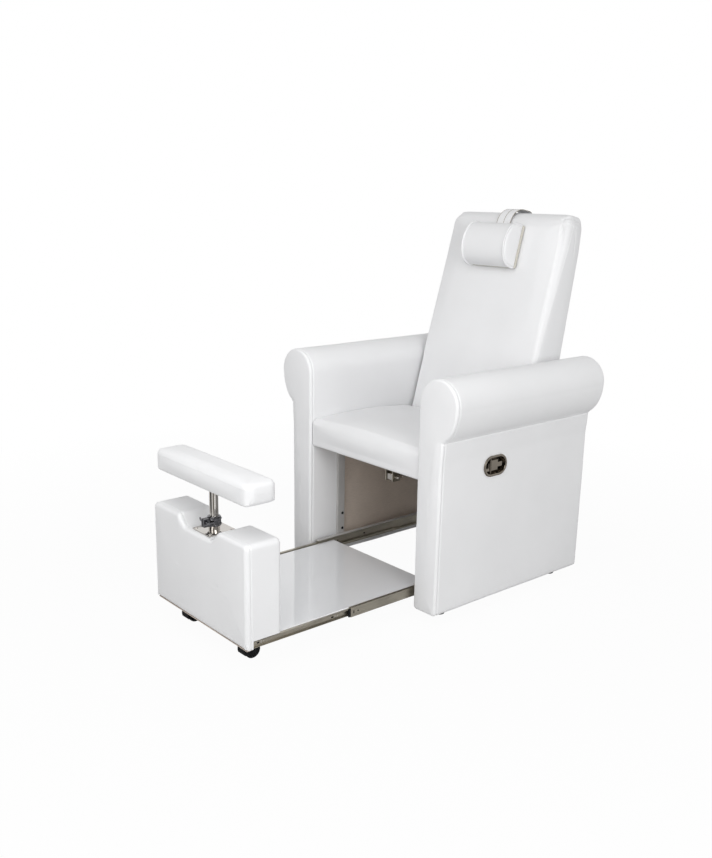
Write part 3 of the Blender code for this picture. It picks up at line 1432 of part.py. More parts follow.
def build_casters():
    """Two twin-wheel casters under the drawer board: mounting plate, hood with its axle, two wheels."""
    board_bottom = DRAWER_TOP - DRAWER_BOARD
    plate_top = board_bottom - SEAT_GAP
    stem_top = plate_top - CASTER_PLATE - SEAT_GAP
    boss_top = stem_top - CASTER_STEM_LENGTH
    hood_in = WHEEL_RADIUS + HOOD_CLEAR
    hood_out = hood_in + HOOD_WALL
    axle_z = WHEEL_RADIUS
    neck_half = HOOD_WEB / 2 - SEAT_GAP
    lane_in = HOOD_WEB / 2 + RUN_GAP / 2
    wheel_in = HOOD_WEB / 2 + RUN_GAP
    wheel_out = wheel_in + WHEEL_WIDTH
    for side, sign in SIDES:
        x = sign * CASTER_X
        half = CASTER_PLATE_HALF
        plate = box(
            side + "_caster_plate",
            (x - half, CASTER_Y - half, plate_top - CASTER_PLATE),
            (x + half, CASTER_Y + half, plate_top),
        )
        finish(plate, DRAWER, ZINC)
        axle_y = CASTER_Y + CASTER_TRAIL
        axle_place = (axle_y, axle_z)
        shell = arc(axle_place, hood_out, 15, 200, 14) + arc(axle_place, hood_in, 200, 15, 14)
        hood = extruded(side + "_caster_hood", [shell], x - wheel_out, x + wheel_out, "X")
        web = cylinder(
            side + "_caster_web",
            (x - HOOD_WEB / 2, axle_y, axle_z),
            (x + HOOD_WEB / 2, axle_y, axle_z),
            WHEEL_RADIUS * CASTER_WEB_SHARE,
            20,
        )
        neck = box(
            side + "_caster_neck",
            (x - neck_half, CASTER_Y - CASTER_NECK_FRONT, axle_z),
            (x + neck_half, axle_y + CASTER_NECK_REAR, axle_z + hood_in + HOOD_WALL / 2),
        )
        boss = cylinder(
            side + "_caster_boss",
            (x, CASTER_Y, axle_z + hood_in * CASTER_BOSS_SHARE),
            (x, CASTER_Y, boss_top),
            CASTER_BOSS,
            20,
        )
        stem = cylinder(
            side + "_caster_stem",
            (x, CASTER_Y, boss_top - CASTER_STEM_ROOT),
            (x, CASTER_Y, stem_top),
            CASTER_STEM,
            20,
        )
        axle = cylinder(
            side + "_caster_axle",
            (x - wheel_out, axle_y, axle_z),
            (x + wheel_out, axle_y, axle_z),
            AXLE_RADIUS,
            16,
        )
        for piece in (web, neck, boss, stem):
            cut(hood, piece, "UNION")
        for end, inward in (("inner", -sign), ("outer", sign)):
            lane_start = x + inward * lane_in
            lane_end = x + inward * (wheel_out + CUT_TOUCH)
            lane = arc(axle_place, WHEEL_RADIUS + HOOD_CLEAR * LANE_SHARE, 0, 345, 23)
            cut(hood, extruded(f"{side}_{end}_wheel_lane", [lane], lane_start, lane_end, "X"))
        cut(hood, axle, "UNION")
        finish(hood, CASTERS[side], BLACK_PLASTIC)
        tread = WHEEL_TREAD
        bore = AXLE_RADIUS + RUN_GAP
        profile = [
            (bore, wheel_out),
            (WHEEL_RADIUS - 3 * tread, wheel_out),
            (WHEEL_RADIUS - tread, wheel_out - tread / 2),
            (WHEEL_RADIUS, wheel_out - 1.5 * tread),
            (WHEEL_RADIUS, wheel_in + tread / 2),
            (WHEEL_RADIUS - tread / 2, wheel_in),
            (bore, wheel_in),
        ]
        for end, inward in (("inner", -sign), ("outer", sign)):
            section = [(radius, inward * height) for radius, height in profile]
            wheel = turned(f"{side}_{end}_wheel", section, (x, axle_y, axle_z), "X", 20)
            finish(wheel, WHEELS[side, end], BLACK_RUBBER)


def stand_on_origin():
    """Move the chair so that its box stands on z = 0, centred over the origin."""
    bpy.context.view_layer.update()
    graph = bpy.context.evaluated_depsgraph_get()
    corners = []
    for obj in PARTS.objects:
        if obj.type == "EMPTY":
            continue
        shape = obj.evaluated_get(graph)
        mesh = shape.to_mesh()
        corners += [shape.matrix_world @ vertex.co for vertex in mesh.vertices]
        shape.to_mesh_clear()
    low = Vector([min(corner[i] for corner in corners) for i in range(3)])
    high = Vector([max(corner[i] for corner in corners) for i in range(3)])
    CHAIR.location -= Vector(((low.x + high.x) / 2, (low.y + high.y) / 2, low.z))
    bpy.context.view_layer.update()


clear_scene()
PARTS = new_collection("podiatry_chair")
CUTTERS = new_collection("cutters")
CHAIR = pivot("chair", (0, 0, 0))
DRAWER = pivot("drawer", (0, DRAWER_REAR, SLIDE_Z), CHAIR)
MIDDLES = {
    side: pivot(side + "_slide", (sign * SLIDE_X, SLIDE_MIDDLE_FRONT, SLIDE_Z), CHAIR) for side, sign in SIDES
}
CLAMP = pivot("clamp", (0, POST_Y - CLAMP_SCREW_Y, CLAMP_Z), DRAWER)
LIFT = pivot("foot_rest_lift", (0, POST_Y, COLLAR_Z), DRAWER)
SWIVEL = pivot("foot_rest_swivel", (0, POST_Y, PAD_BOTTOM), LIFT)
RECLINE = pivot("recline", (0, HINGE_Y, HINGE_Z), CHAIR)
PILLOW = pivot("pillow", (HEADREST_X, *Back.front(PILLOW_LOW, 0.0)), RECLINE)
WEIGHT = pivot("counterweight", (HEADREST_X, *Back.rear(WEIGHT_HIGH, 0.0)), RECLINE)
SWING = pivot("gas_spring_swing", (0, SPRING_Y, SPRING_Z), CHAIR)
STROKE = pivot("gas_spring_stroke", (0, *lever_pin_place()), SWING)
HANDLE = pivot("release", (CUP_FACE_X - PADDLE_INSET, PADDLE_PIVOT_Y, HANDLE_Z), CHAIR)
CASTERS = {
    side: pivot(side + "_caster", (sign * CASTER_X, CASTER_Y, WHEEL_RADIUS), DRAWER) for side, sign in SIDES
}
WHEELS = {
    (side, end): pivot(
        f"{side}_{end}_axle", (sign * CASTER_X, CASTER_Y + CASTER_TRAIL, WHEEL_RADIUS), CASTERS[side]
    )
    for side, sign in SIDES
    for end in ("inner", "outer")
}

build_panels()
build_panel_frames()
build_feet()
build_seat()
build_rear_panel()
build_backrest()
build_hinges()
build_headrest()
build_lever()
build_gas_spring()
build_handle()
build_cable()
build_slides()
build_drawer()
build_foot_rest()
build_casters()
stand_on_origin()
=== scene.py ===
"""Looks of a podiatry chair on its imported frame: upholstery, metalwork, drawer, casters and studio.

Shapes are worked out in the chair's own frame, in metres: y = 0 is the front of the side panels, z = 0
the floor, and +X the sitter's left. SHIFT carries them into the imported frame.
"""

import math

import bpy
import numpy as np
from bpy.props import FloatProperty, FloatVectorProperty, PointerProperty
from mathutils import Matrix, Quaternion, Vector
from mathutils.bvhtree import BVHTree


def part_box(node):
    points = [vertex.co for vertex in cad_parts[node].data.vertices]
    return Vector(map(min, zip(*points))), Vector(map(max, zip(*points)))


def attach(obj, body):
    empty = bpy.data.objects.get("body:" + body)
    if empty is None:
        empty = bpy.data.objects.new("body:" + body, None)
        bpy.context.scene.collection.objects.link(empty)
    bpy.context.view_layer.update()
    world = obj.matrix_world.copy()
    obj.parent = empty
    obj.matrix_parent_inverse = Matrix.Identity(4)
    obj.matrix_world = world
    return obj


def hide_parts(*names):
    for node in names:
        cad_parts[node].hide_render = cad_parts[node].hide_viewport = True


bl_info = {
    "name": "Podiatry chair",
    "version": (1, 0, 0),
    "blender": (4, 5, 0),
    "location": "View3D > Sidebar > Chair",
    "description": "Upholstery, metalwork and studio of a podiatry chair on its packed frame",
    "category": "Object",
}

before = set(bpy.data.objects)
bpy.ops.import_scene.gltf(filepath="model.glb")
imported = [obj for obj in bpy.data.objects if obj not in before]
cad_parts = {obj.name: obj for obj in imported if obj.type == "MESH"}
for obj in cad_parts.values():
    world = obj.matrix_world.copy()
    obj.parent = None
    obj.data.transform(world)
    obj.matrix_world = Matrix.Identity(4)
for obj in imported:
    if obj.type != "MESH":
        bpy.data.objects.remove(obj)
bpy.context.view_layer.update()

# Sizes shared with the solids, in metres
GAP = 0.0003
RUN_GAP = 0.0004
PANEL_CROWN = 0.003
SHIFT = np.array([0.0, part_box("left_arm")[0].y + PANEL_CROWN, 0.0])
INNER_X = 0.252
PANEL_DEPTH = 0.670
PANEL_BOTTOM = 0.034
PANEL_FOOT_X = 0.341
PANEL_WAIST_X = 0.345
WAIST_Z = 0.500
CREASE_X = 0.3525
CREASE_Z = 0.5615
ROLL_RADIUS = 0.0745
ROLL_Z = 0.668
ROLL_DROP = 0.108
PANEL_EDGE = 0.008
PANEL_CORNER = 0.012
ARM_SEAM = 0.0125
ARM_STITCHES = 0.0205
HANDLE_Y = 0.2315
HANDLE_Z = 0.460
HANDLE_LENGTH = 0.100
HANDLE_HEIGHT = 0.064
HANDLE_RIM = 0.007
HANDLE_FLANGE = 0.004
CUP_DEPTH = 0.024
CUP_WALL = 0.002
WELL_HALF = 0.010
WELL_LOW = 0.408
WELL_HIGH = 0.462
SEAT_FRONT = 0.009
SEAT_REAR = 0.4365
SEAT_TOP = 0.520
SEAT_BOTTOM = 0.430
SEAT_HALF = 0.2515
SEAT_EDGE = 0.004
SEAT_NOSE = 0.020
SEAT_LIP = 0.027
SEAT_BOARD = 0.015
SEAT_HEM = 0.006
SEAT_CROWN = 0.006
SEAT_FALL = 0.006
SEAT_SWELL = 0.0075
SEAT_HELD_BELOW = 0.452
SEAT_FILLING = 0.006
HINGE = np.array([0.530, 0.470])
BACK_TILT = math.radians(15)
BACK_TAPER = math.radians(4.8)
BACK_LENGTH = 0.672
BACK_ROOT = 0.0625
BACK_FRONT = 0.090
BACK_HEEL_ANGLE = 225.0
BACK_ROOT_ANGLE = 258.0
BACK_TIP = 0.050
BACK_TIP_REAR = 0.017
BACK_TOP_ANGLE = 80.0
BACK_HALF = 0.2437
BACK_EDGE = 0.011
BACK_SEAM_X = 0.230
BACK_SEAM_DEPTH = 0.0006
BACK_SEAM_WIDTH = 0.0020
BACK_SOFT = 0.028
BACK_SHOULDER = 0.036
WELT_RADIUS = 0.0014
WELT_SUNK = 0.0007
BACK_SWELL = 0.006
BACK_START_SWELL = 0.0030
BACK_BULGE = 0.0045
BACK_FILLING = 0.0085
BACK_FILLING_LESS = 0.0055
BACK_SWELL_FADE = 0.12
BACK_PANEL = 0.008
BACK_PANEL_HALF = 0.225
BACK_PANEL_LENGTH = 0.600
PILLOW_WIDTH = 0.192
PILLOW_LOW = 0.529
PILLOW_HIGH = 0.669
PILLOW_DEPTH = 0.080
PILLOW_LIFT = 0.0088
PILLOW_BASE = 0.0085
PILLOW_EDGE = 0.010
STRAP_WIDTH = 0.057
STRAP = 0.002
STRAP_FRONT_END = 0.535
STRAP_REAR_END = 0.480
WEIGHT_WIDTH = 0.140
WEIGHT_LOW = 0.335
WEIGHT_HIGH = 0.495
WEIGHT_DEPTH = 0.026
WEIGHT_BASE = 0.003
WEIGHT_EDGE = 0.003
BOX_FRONT = -0.589
BOX_REAR = -0.475
BOX_HALF = 0.2385
BOX_TOP = 0.361
BOX_BOTTOM = 0.067
BOX_LIP = 0.021
BOX_EDGE = 0.012
BOX_CORNER = 0.016
BOX_SEAM = 0.0150
BOX_STITCHES = 0.0215
NOTCH_FLOOR = 0.3285
NOTCH_FLOOR_HALF = 0.062
NOTCH_TOP_HALF = 0.108
DRAWER_TOP = 0.092
POST_Y = -0.532
POST_RADIUS = 0.0125
SOCKET_RADIUS = 0.0162
SOCKET_BOTTOM = 0.110
COLLAR_Z = 0.3433
COLLAR_HEIGHT = 0.024
COLLAR_RADIUS = 0.0195
CLAMP_SCREW_Y = 0.029
PAD_BOTTOM = 0.460
PAD_THICK = 0.064
PAD_LENGTH = 0.476
PAD_DEPTH = 0.104
PAD_CORNER = 0.017
PAD_LOWER_CORNER = 0.008
PAD_SOFT = 0.026
PAD_SEAM_DROP = 0.016
PAD_FILLING = 0.0042
CLAMP_RINGS = (0.0045, 0.0195)
CLAMP_RING_RADIUS = 0.0016
SLIDE_WALL = 0.0015
FAR_HOLES = ((0.098, 0.0046, 0.0046), (0.112, 0.0046, 0.0046), (0.232, 0.0080, 0.0050))
UPRIGHT_SCREWS = (0.172, 0.118)
UPRIGHT_SCREW_HEAD = (0.0048, 0.0024)
PLATE_SCREWS = 0.036
PLATE_SCREW_HEAD = (0.0050, 0.0022)
SIDES = (("left", 1.0), ("right", -1.0))

# The photograph's view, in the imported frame
VIEW_PLACE = (2.1741, -1.9564, 1.2475)
VIEW_AIM = (0.0, -0.1499, 0.5393)
VIEW_ROLL = math.radians(0.642)
VIEW_LENS = 40.59
VIEW_SHIFT = (0.0196, 0.004)


def length(name, words, value):
    """A length property with its name, description and default."""
    return FloatProperty(name=name, description=words, default=value, unit="LENGTH")


class ChairSizes(bpy.types.PropertyGroup):
    """Sizes of the sewing and the filling."""

    seam_depth: length("Seam depth", "How deep a seam sinks into the filling", 0.0020)
    seam_width: length("Seam width", "Half the width of a seam's groove", 0.0022)
    stitch_pitch: length("Stitch pitch", "Distance between two stitches", 0.0048)
    stitch_radius: length("Thread radius", "Radius of the sewing thread", 0.00038)
    piping: length("Piping radius", "Radius of the piped edges", 0.0034)
    ripple: length("Ripple", "Unevenness of stretched leather", 0.0005)
    pressure: FloatProperty(name="Pressure", description="Pressure under the covers", default=4.0)
    floor: length("Floor size", "Side of the floor", 24.0)


def colour(name, words, value):
    """A colour property with its name, description and default."""
    return FloatVectorProperty(
        name=name, description=words, default=value, size=3, min=0.0, max=1.0, subtype="COLOR"
    )


class ChairColours(bpy.types.PropertyGroup):
    """Colours of the finishes."""

    leather: colour("Leather", "Colour of the white faux leather", (0.80, 0.802, 0.81))
    thread: colour("Thread", "Colour of the sewing thread", (0.78, 0.78, 0.77))
    hem: colour("Hem", "Colour of the raw hem behind the headrest", (0.62, 0.60, 0.53))
    # The strap's cords are darker than its hem: part the colour of the bands' edges, part painted shade of
    # the grooves and of the gaps under the strap.
    cut_edge: colour("Cut edge", "Colour of the strap's cut edges", (0.34, 0.30, 0.24))
    laminate: colour("Laminate", "Colour of the glossy drawer board", (0.84, 0.85, 0.87))
    board: colour("Board", "Colour of the inner boards", (0.68, 0.585, 0.505))
    raw_edge: colour("Raw edge", "Colour of the bare board edge under the foot box", (0.58, 0.50, 0.44))
    zinc: colour("Zinc", "Colour of the zinc plated steel", (0.40, 0.37, 0.31))
    chrome: colour("Chrome", "Colour of the chrome plating", (0.56, 0.535, 0.505))
    dark_chrome: colour("Dark chrome", "Colour of the clamp's plating", (0.15, 0.15, 0.16))
    # Darker than bare nickel: a dark plating whose colour also paints in the shade of the dark surroundings
    # that the cup and paddle mirror.
    nickel: colour("Nickel", "Colour of the release handle's plating", (0.21, 0.185, 0.155))
    paint: colour("Paint", "Colour of the painted steel", (0.46, 0.45, 0.44))
    black: colour("Black", "Colour of the black plastic and rubber", (0.006, 0.006, 0.0065))


class Value:
    """A shader value. Arithmetic on it adds Math nodes to its finish."""

    def __init__(self, finish, socket):
        self.finish = finish
        self.socket = socket

    def joined(self, operation, first, second):
        """One Math node on two values."""
        return self.finish.node("ShaderNodeMath", {"operation": operation}, {0: first, 1: second})

    def __add__(self, other):
        return self.joined("ADD", self, other)

    def __rsub__(self, other):
        return self.joined("SUBTRACT", other, self)

    def __mul__(self, other):
        return self.joined("MULTIPLY", self, other)


class Finish:
    """One material, or the world, and the nodes that make its surface."""

    def __init__(self, name, world=None):
        self.material = world or bpy.data.materials.new(name)
        self.material.use_nodes = True
        self.tree = self.material.node_tree
        self.tree.nodes.clear()
        self.place = self.node("ShaderNodeTexCoord", output="Object")

    def node(self, kind, settings=None, inputs=None, output=0):
        """Add a node: its settings first, then a value or a link for each socket named."""
        made = self.tree.nodes.new(kind)
        for key, value in (settings or {}).items():
            setattr(made, key, value)
        for key, value in (inputs or {}).items():
            if isinstance(value, Value):
                self.tree.links.new(value.socket, made.inputs[key])
            else:
                made.inputs[key].default_value = value
        return Value(self, made.outputs[output])

    def stretched(self, scale):
        """Object coordinates with each axis scaled."""
        return self.node("ShaderNodeMapping", None, {"Vector": self.place, "Scale": scale})

    def noise(self, scale, detail=2.0, vector=None):
        """Cloudy noise around 0.5."""
        inputs = {"Vector": vector or self.place, "Scale": scale, "Detail": detail}
        return self.node("ShaderNodeTexNoise", None, inputs)

    def cells(self, scale):
        """Distance to the nearest point of an irregular grid."""
        return self.node("ShaderNodeTexVoronoi", None, {"Vector": self.place, "Scale": scale})

    def limited(self, value, low, high):
        """A value carried from low..high to 0..1 and kept there."""
        inputs = {"Value": value, "From Min": low, "From Max": high}
        return self.node("ShaderNodeMapRange", {"clamp": True}, inputs)

    def mixed(self, share, first, second):
        """Two colours mixed by a share."""
        inputs = {0: share, 6: (*first, 1.0), 7: (*second, 1.0)}
        return self.node("ShaderNodeMix", {"data_type": "RGBA"}, inputs, 2)

    def bumped(self, height, distance, strength=1.0):
        """A normal raised by a height field."""
        inputs = {"Height": height, "Distance": distance, "Strength": strength}
        return self.node("ShaderNodeBump", None, inputs)

    def surface(self, **sockets):
        """Close the material with a Principled shader."""
        named = {}
        for key, value in sockets.items():
            named[key.replace("_", " ").title().replace("Ior", "IOR")] = value
        return self.closed(self.node("ShaderNodeBsdfPrincipled", None, named))

    def closed(self, shader, kind="ShaderNodeOutputMaterial"):
        """Link a shader to the output."""
        end = self.tree.nodes.new(kind)
        self.tree.links.new(shader.socket, end.inputs["Surface"])
        return self.material

    def seen(self):
        """1 on rays from the camera, and on mirrored and transmitted ones, else 0."""
        names = ("Is Camera Ray", "Is Glossy Ray", "Is Transmission Ray")
        rays = [self.node("ShaderNodeLightPath", output=name) for name in names]
        return rays[0] + rays[1] + rays[2]


def scaled(colour_value, share):
    """A colour made darker or lighter."""
    return tuple(min(1.0, part * share) for part in colour_value)


def leather_finish(name, base, roughness=0.42):
    """Faux leather: pebbled cells and fine pores as bump, cloudy gloss and a faint change of tone."""
    paint = Finish(name)
    pebbles = paint.cells(520.0)
    pores = paint.noise(1500.0, 3.0)
    wear = paint.noise(7.0, 3.0)
    cloud = paint.noise(2.2, 2.0)
    height = pebbles * 0.7 + pores * 0.3
    tone = paint.limited(wear * 0.5 + cloud * 0.5, 0.35, 0.65)
    grain = paint.limited(pebbles, 0.0, 0.55)
    return paint.surface(
        base_color=paint.mixed(tone, scaled(base, 0.972), scaled(base, 1.012)),
        roughness=wear * 0.14 + grain * 0.06 + (roughness - 0.10),
        specular_ior_level=0.42,
        normal=paint.bumped(height, 0.00022, 0.55),
    )


def thread_finish(name, base):
    """Sewing thread: a fine uneven fibre in tone, gloss and bump, matt."""
    paint = Finish(name)
    twist = paint.noise(2600.0, 1.0)
    return paint.surface(
        base_color=paint.mixed(twist, scaled(base, 0.86), base),
        roughness=twist * 0.2 + 0.55,
        normal=paint.bumped(twist, 0.0002, 0.6),
    )


def laminate_finish(name, base):
    """High gloss laminate: even colour, a slight orange peel and faint wiping marks in the gloss."""
    paint = Finish(name)
    peel = paint.noise(55.0, 2.0)
    wipes = paint.noise(9.0, 4.0, paint.stretched((3.0, 0.6, 1.0)))
    return paint.surface(
        base_color=paint.mixed(wipes, scaled(base, 0.985), base),
        roughness=paint.limited(wipes, 0.35, 0.75) * 0.05 + 0.045,
        ior=1.8,
        coat_weight=1.0,
        coat_roughness=0.03,
        coat_ior=1.55,
        normal=paint.bumped(peel, 0.0006, 0.04),
    )


def board_finish(name, base):
    """Brown hardboard: short fibres one way, blotches and a dusty matt face."""
    paint = Finish(name)
    fibre = paint.noise(60.0, 5.0, paint.stretched((9.0, 1.0, 9.0)))
    blotch = paint.noise(5.0, 3.0)
    tone = paint.limited(fibre * 0.4 + blotch * 0.6, 0.3, 0.7)
    return paint.surface(
        base_color=paint.mixed(tone, scaled(base, 0.80), scaled(base, 1.12)),
        roughness=fibre * 0.2 + 0.62,
        normal=paint.bumped(fibre, 0.0004, 0.5),
    )


def zinc_finish(name, base):
    """Zinc plate: rolling streaks along the member, a brown passivation cloud and small scuffs."""
    paint = Finish(name)
    streaks = paint.noise(26.0, 5.0, paint.stretched((22.0, 0.35, 22.0)))
    cloud = paint.noise(14.0, 3.0)
    scuffs = paint.limited(paint.noise(190.0, 4.0), 0.60, 0.72)
    tone = paint.limited(streaks * 0.45 + cloud * 0.55, 0.32, 0.68)
    return paint.surface(
        base_color=paint.mixed(tone, scaled(base, 0.74), scaled(base, 1.18)),
        metallic=0.92,
        roughness=streaks * 0.22 + scuffs * 0.10 + 0.20,
        normal=paint.bumped(streaks, 0.0003, 0.25),
    )


def plated_finish(name, base, roughness):
    """Polished plating: mirror gloss with a few smudges and a slight waviness."""
    paint = Finish(name)
    smudge = paint.limited(paint.noise(42.0, 4.0), 0.50, 0.78)
    wave = paint.noise(120.0, 1.0)
    return paint.surface(
        base_color=paint.mixed(smudge, base, scaled(base, 0.90)),
        metallic=1.0,
        roughness=smudge * 0.12 + roughness,
        normal=paint.bumped(wave, 0.0003, 0.05),
    )


def paint_finish(name, base):
    """Powder paint: fine orange peel, slight dirt and a satin gloss."""
    paint = Finish(name)
    peel = paint.noise(480.0, 2.0)
    dirt = paint.noise(11.0, 5.0)
    tone = paint.limited(dirt, 0.3, 0.65)
    return paint.surface(
        base_color=paint.mixed(tone, scaled(base, 0.88), scaled(base, 1.03)),
        roughness=dirt * 0.15 + 0.28,
        normal=paint.bumped(peel, 0.0003, 0.25),
    )


def black_finish(name, base, roughness, grain):
    """Black moulded plastic, rubber or blued steel: fine grain, dust and uneven gloss."""
    paint = Finish(name)
    spark = paint.noise(grain, 3.0)
    dust = paint.limited(paint.noise(30.0, 4.0), 0.45, 0.8)
    return paint.surface(
        base_color=paint.mixed(dust, base, scaled(base, 2.2)),
        specular_ior_level=0.12,
        roughness=dust * 0.15 + spark * 0.1 + (roughness - 0.05),
        normal=paint.bumped(spark, 0.0002, 0.35),
    )


FINISHES = {}


def make_finishes(colours):
    """Every finish of the chair, once, under its own name."""
    def value(name):
        return tuple(getattr(colours, name))

    FINISHES.update(
        white_leather=leather_finish("white_leather", value("leather")),
        thread=thread_finish("sewing_thread", value("thread")),
        hem=board_finish("raw_hem", value("hem")),
        cut_edge=board_finish("strap_cut_edge", value("cut_edge")),
        white_laminate=laminate_finish("white_laminate", value("laminate")),
        plywood=board_finish("inner_board", value("board")),
        raw_edge=board_finish("raw_board_edge", value("raw_edge")),
        zinc_steel=zinc_finish("zinc_plate", value("zinc")),
        chrome=plated_finish("chrome_plate", value("chrome"), 0.05),
        dark_chrome=plated_finish("dark_chrome_plate", value("dark_chrome"), 0.07),
        # Nickel plating, darkened partly as painted shade for what it mirrors.
        nickel=plated_finish("nickel_plate", value("nickel"), 0.14),
        painted_steel=paint_finish("light_paint", value("paint")),
        black_steel=black_finish("black_steel", value("black"), 0.38, 500.0),
        black_plastic=black_finish("black_plastic", value("black"), 0.44, 900.0),
        black_rubber=black_finish("black_rubber", scaled(value("black"), 1.5), 0.66, 1300.0),
    )


def unit(vectors):
    """Rows of vectors brought to length 1."""
    return vectors / np.linalg.norm(vectors, axis=1, keepdims=True)


def spokes(degrees):
    """Unit vectors (cos a, sin a) at angles in degrees."""
    a = np.radians(degrees)
    return np.stack([np.cos(a), np.sin(a)], -1)


def arc(centre, radii, start, end, steps):
    """Points on an arc of one radius or two: centre + radii * (cos a, sin a), a in degrees."""
    return np.asarray(centre) + np.asarray(radii) * spokes(np.linspace(start, end, steps + 1))


def points_at(x, y, z):
    """Points from three coordinates, each an array or one number for all."""
    return np.stack(np.broadcast_arrays(x, y, z), -1)


def at_x(x, place):
    """Points from places (y, z), each with its own x or all with one."""
    return points_at(x, place[..., 0], place[..., 1])


def walked(points, spacing, closed=False):
    """A line of points at equal steps of about the spacing along a polyline, its ends kept."""
    line = np.asarray(points, float)
    if closed:
        line = np.vstack([line, line[:1]])
    step = np.linalg.norm(np.diff(line, axis=0), axis=1)
    line = line[np.concatenate([[True], step > 1e-9])]
    travel = np.concatenate([[0.0], np.cumsum(step[step > 1e-9])])
    count = max(2, int(round(travel[-1] / spacing)) + 1)
    places = np.linspace(0.0, travel[-1], count)[: -1 if closed else None]
    return np.stack([np.interp(places, travel, line[:, k]) for k in range(line.shape[1])], 1)


def chained(*parts):
    """Parts of a closed loop, each (points, spacing), walked and joined without double points."""
    lines = [walked(points, spacing) for points, spacing in parts]
    loop = np.vstack(lines)
    keep = np.linalg.norm(loop - np.roll(loop, 1, 0), axis=1) > 1e-6
    return loop[keep]


def outward(loop):
    """Unit normals of a counter-clockwise loop: (dv, -du) of the step between the two neighbours."""
    step = np.roll(loop, -1, 0) - np.roll(loop, 1, 0)
    return unit(np.stack([step[:, 1], -step[:, 0]], 1))


def nearest(start, end, points):
    """For each point the nearest place on the line from start to end."""
    start, along = np.asarray(start), np.asarray(end) - np.asarray(start)
    share = np.clip((points - start) @ along / (along @ along), 0.0, 1.0)
    return start + share[:, None] * along


def softened(side, face, radius, old):
    """How far a corner of an old radius moves, as (in, back), to lie on a circle of a wider radius.

    With a = 1 - side / r and b = 1 - face / r, both shares are scaled by g / hypot(a, b). g is the place
    along the ray of the old corner: max(a, b) on its flats, and the root of a quadratic on its arc.
    """
    a = np.clip(1 - side / radius, 0.0, 1.0)
    b = np.clip(1 - face / radius, 0.0, 1.0)
    flat = 1 - old / radius
    square = np.maximum(a * a + b * b, 1e-12)
    inside = (flat * (a + b)) ** 2 - square * (2 * flat**2 - (1 - flat) ** 2)
    on_arc = square / np.maximum(flat * (a + b) + np.sqrt(np.maximum(inside, 0.0)), 1e-9)
    gauge = np.where(np.minimum(a, b) > flat * np.maximum(a, b), on_arc, np.maximum(a, b))
    moved = np.where((a > 0) & (b > 0), radius * (1 - gauge / np.sqrt(square)), 0.0)
    return a * moved, b * moved


def bell(distance, width):
    """exp(-(distance / width)^2)."""
    return np.exp(-((distance / width) ** 2))


def eased(value):
    """Smooth step of a value kept in 0..1: v^2 (3 - 2 v)."""
    v = np.clip(value, 0.0, 1.0)
    return v * v * (3.0 - 2.0 * v)


def end_face(place, inward, edge, crown, rings=9, steps=7):
    """Stations (distance, inset, share) from the middle of an end face out over its rounded edge.

    The face is crowned by crown * (1 - share^2), and the edge is a quarter circle of its radius.
    """
    share = np.linspace(0.05, 1.0, rings)
    face = np.stack([place - inward * crown * (1 - share**2), np.full(rings, edge), share], 1)
    a = np.linspace(0.0, math.pi / 2, steps)[1:]
    rim = np.stack([place + inward * edge * (1 - np.cos(a)), edge * (1 - np.sin(a)), np.ones(steps - 1)], 1)
    return np.vstack([face, rim])


def ended(low, high, edge, crown, run, rings=9, steps=7):
    """Stations of a whole filled form: its low end face, the run between and its high end face."""
    first = end_face(low, 1, edge, crown, rings, steps)
    last = end_face(high, -1, edge, crown, rings, steps)[::-1]
    return np.vstack([first, run, last])


def faced(first, last):
    """Stations of a thin form: two end faces, each given as the values for end_face."""
    return np.vstack([end_face(*first), end_face(*last)[::-1]])


def span(start, end, spacing, seams=(), depth=0.0, width=0.002):
    """Stations along a straight run, with a bell shaped groove at each seam."""
    places = np.linspace(start, end, max(3, int((end - start) / spacing)))[1:-1]
    fine = [seam + width * np.linspace(-2.2, 2.2, 9) for seam in seams]
    places = np.unique(np.round(np.concatenate([places, *fine]), 6))
    places = places[(places > start) & (places < end)]
    inset = sum((depth * bell(places - seam, width) for seam in seams), np.zeros(len(places)))
    return np.stack([places, inset, np.ones(len(places))], 1)


def stuffed(loop, spine, stations):
    """Rings core + share * (loop - inset * normal - core), as arrays u, v, t of (station, point).

    The core of a point is the nearest place on the spine, so that an end face closes on the spine.
    """
    core = nearest(*spine, loop)
    inset = stations[:, 1, None, None]
    share = stations[:, 2, None, None]
    ring = core + share * (loop - inset * outward(loop) - core)
    t = np.broadcast_to(stations[:, 0, None], ring.shape[:2])
    return ring[..., 0], ring[..., 1], t


def grid_normals(rings):
    """Unit normals of a grid of rings from the cross product of its two central differences."""
    around = np.roll(rings, -1, 1) - np.roll(rings, 1, 1)
    along = np.gradient(rings, axis=0)
    normal = np.cross(around, along)
    length = np.linalg.norm(normal, axis=2, keepdims=True)
    normal = normal / np.maximum(length, 1e-12)
    middle = rings.reshape(-1, 3).mean(0)
    facing = np.sum(normal * (rings - middle), axis=2)
    return normal * (1.0 if facing.mean() > 0 else -1.0)


def wave(points, seed):
    """A sum of three slow sine waves in three directions, between -1 and 1, as stretched leather lies."""
    height = np.zeros(points.shape[:-1])
    for turn, (length, weight) in enumerate(((0.31, 0.5), (0.17, 0.3), (0.083, 0.2))):
        a = seed * 1.7 + turn * 2.1
        way = np.array([math.cos(a), math.sin(a * 1.3), math.cos(a * 0.7 + 1.0)])
        height += weight * np.sin(2 * math.pi * (points @ way) / length + a)
    return height


def rippled(rings, amount, seed):
    """Rings pushed along their normals by the wave."""
    return rings + grid_normals(rings) * (amount * wave(rings, seed))[..., None]


def closing(ring, index):
    """Faces that close a ring by a strip across it, from one end of its longest line to the other."""
    spread = ring - ring.mean(0)
    line = np.linalg.svd(spread, full_matrices=False)[2][0]
    order = np.roll(index, -int(np.argmax(spread @ line)))
    half = len(order) // 2
    up, down = order[:half], order[::-1][:half]
    faces = np.stack([up[:-1], up[1:], down[1:], down[:-1]], 1).tolist()
    if len(order) % 2:
        faces.append([up[-1], order[half], down[-1]])
    return faces


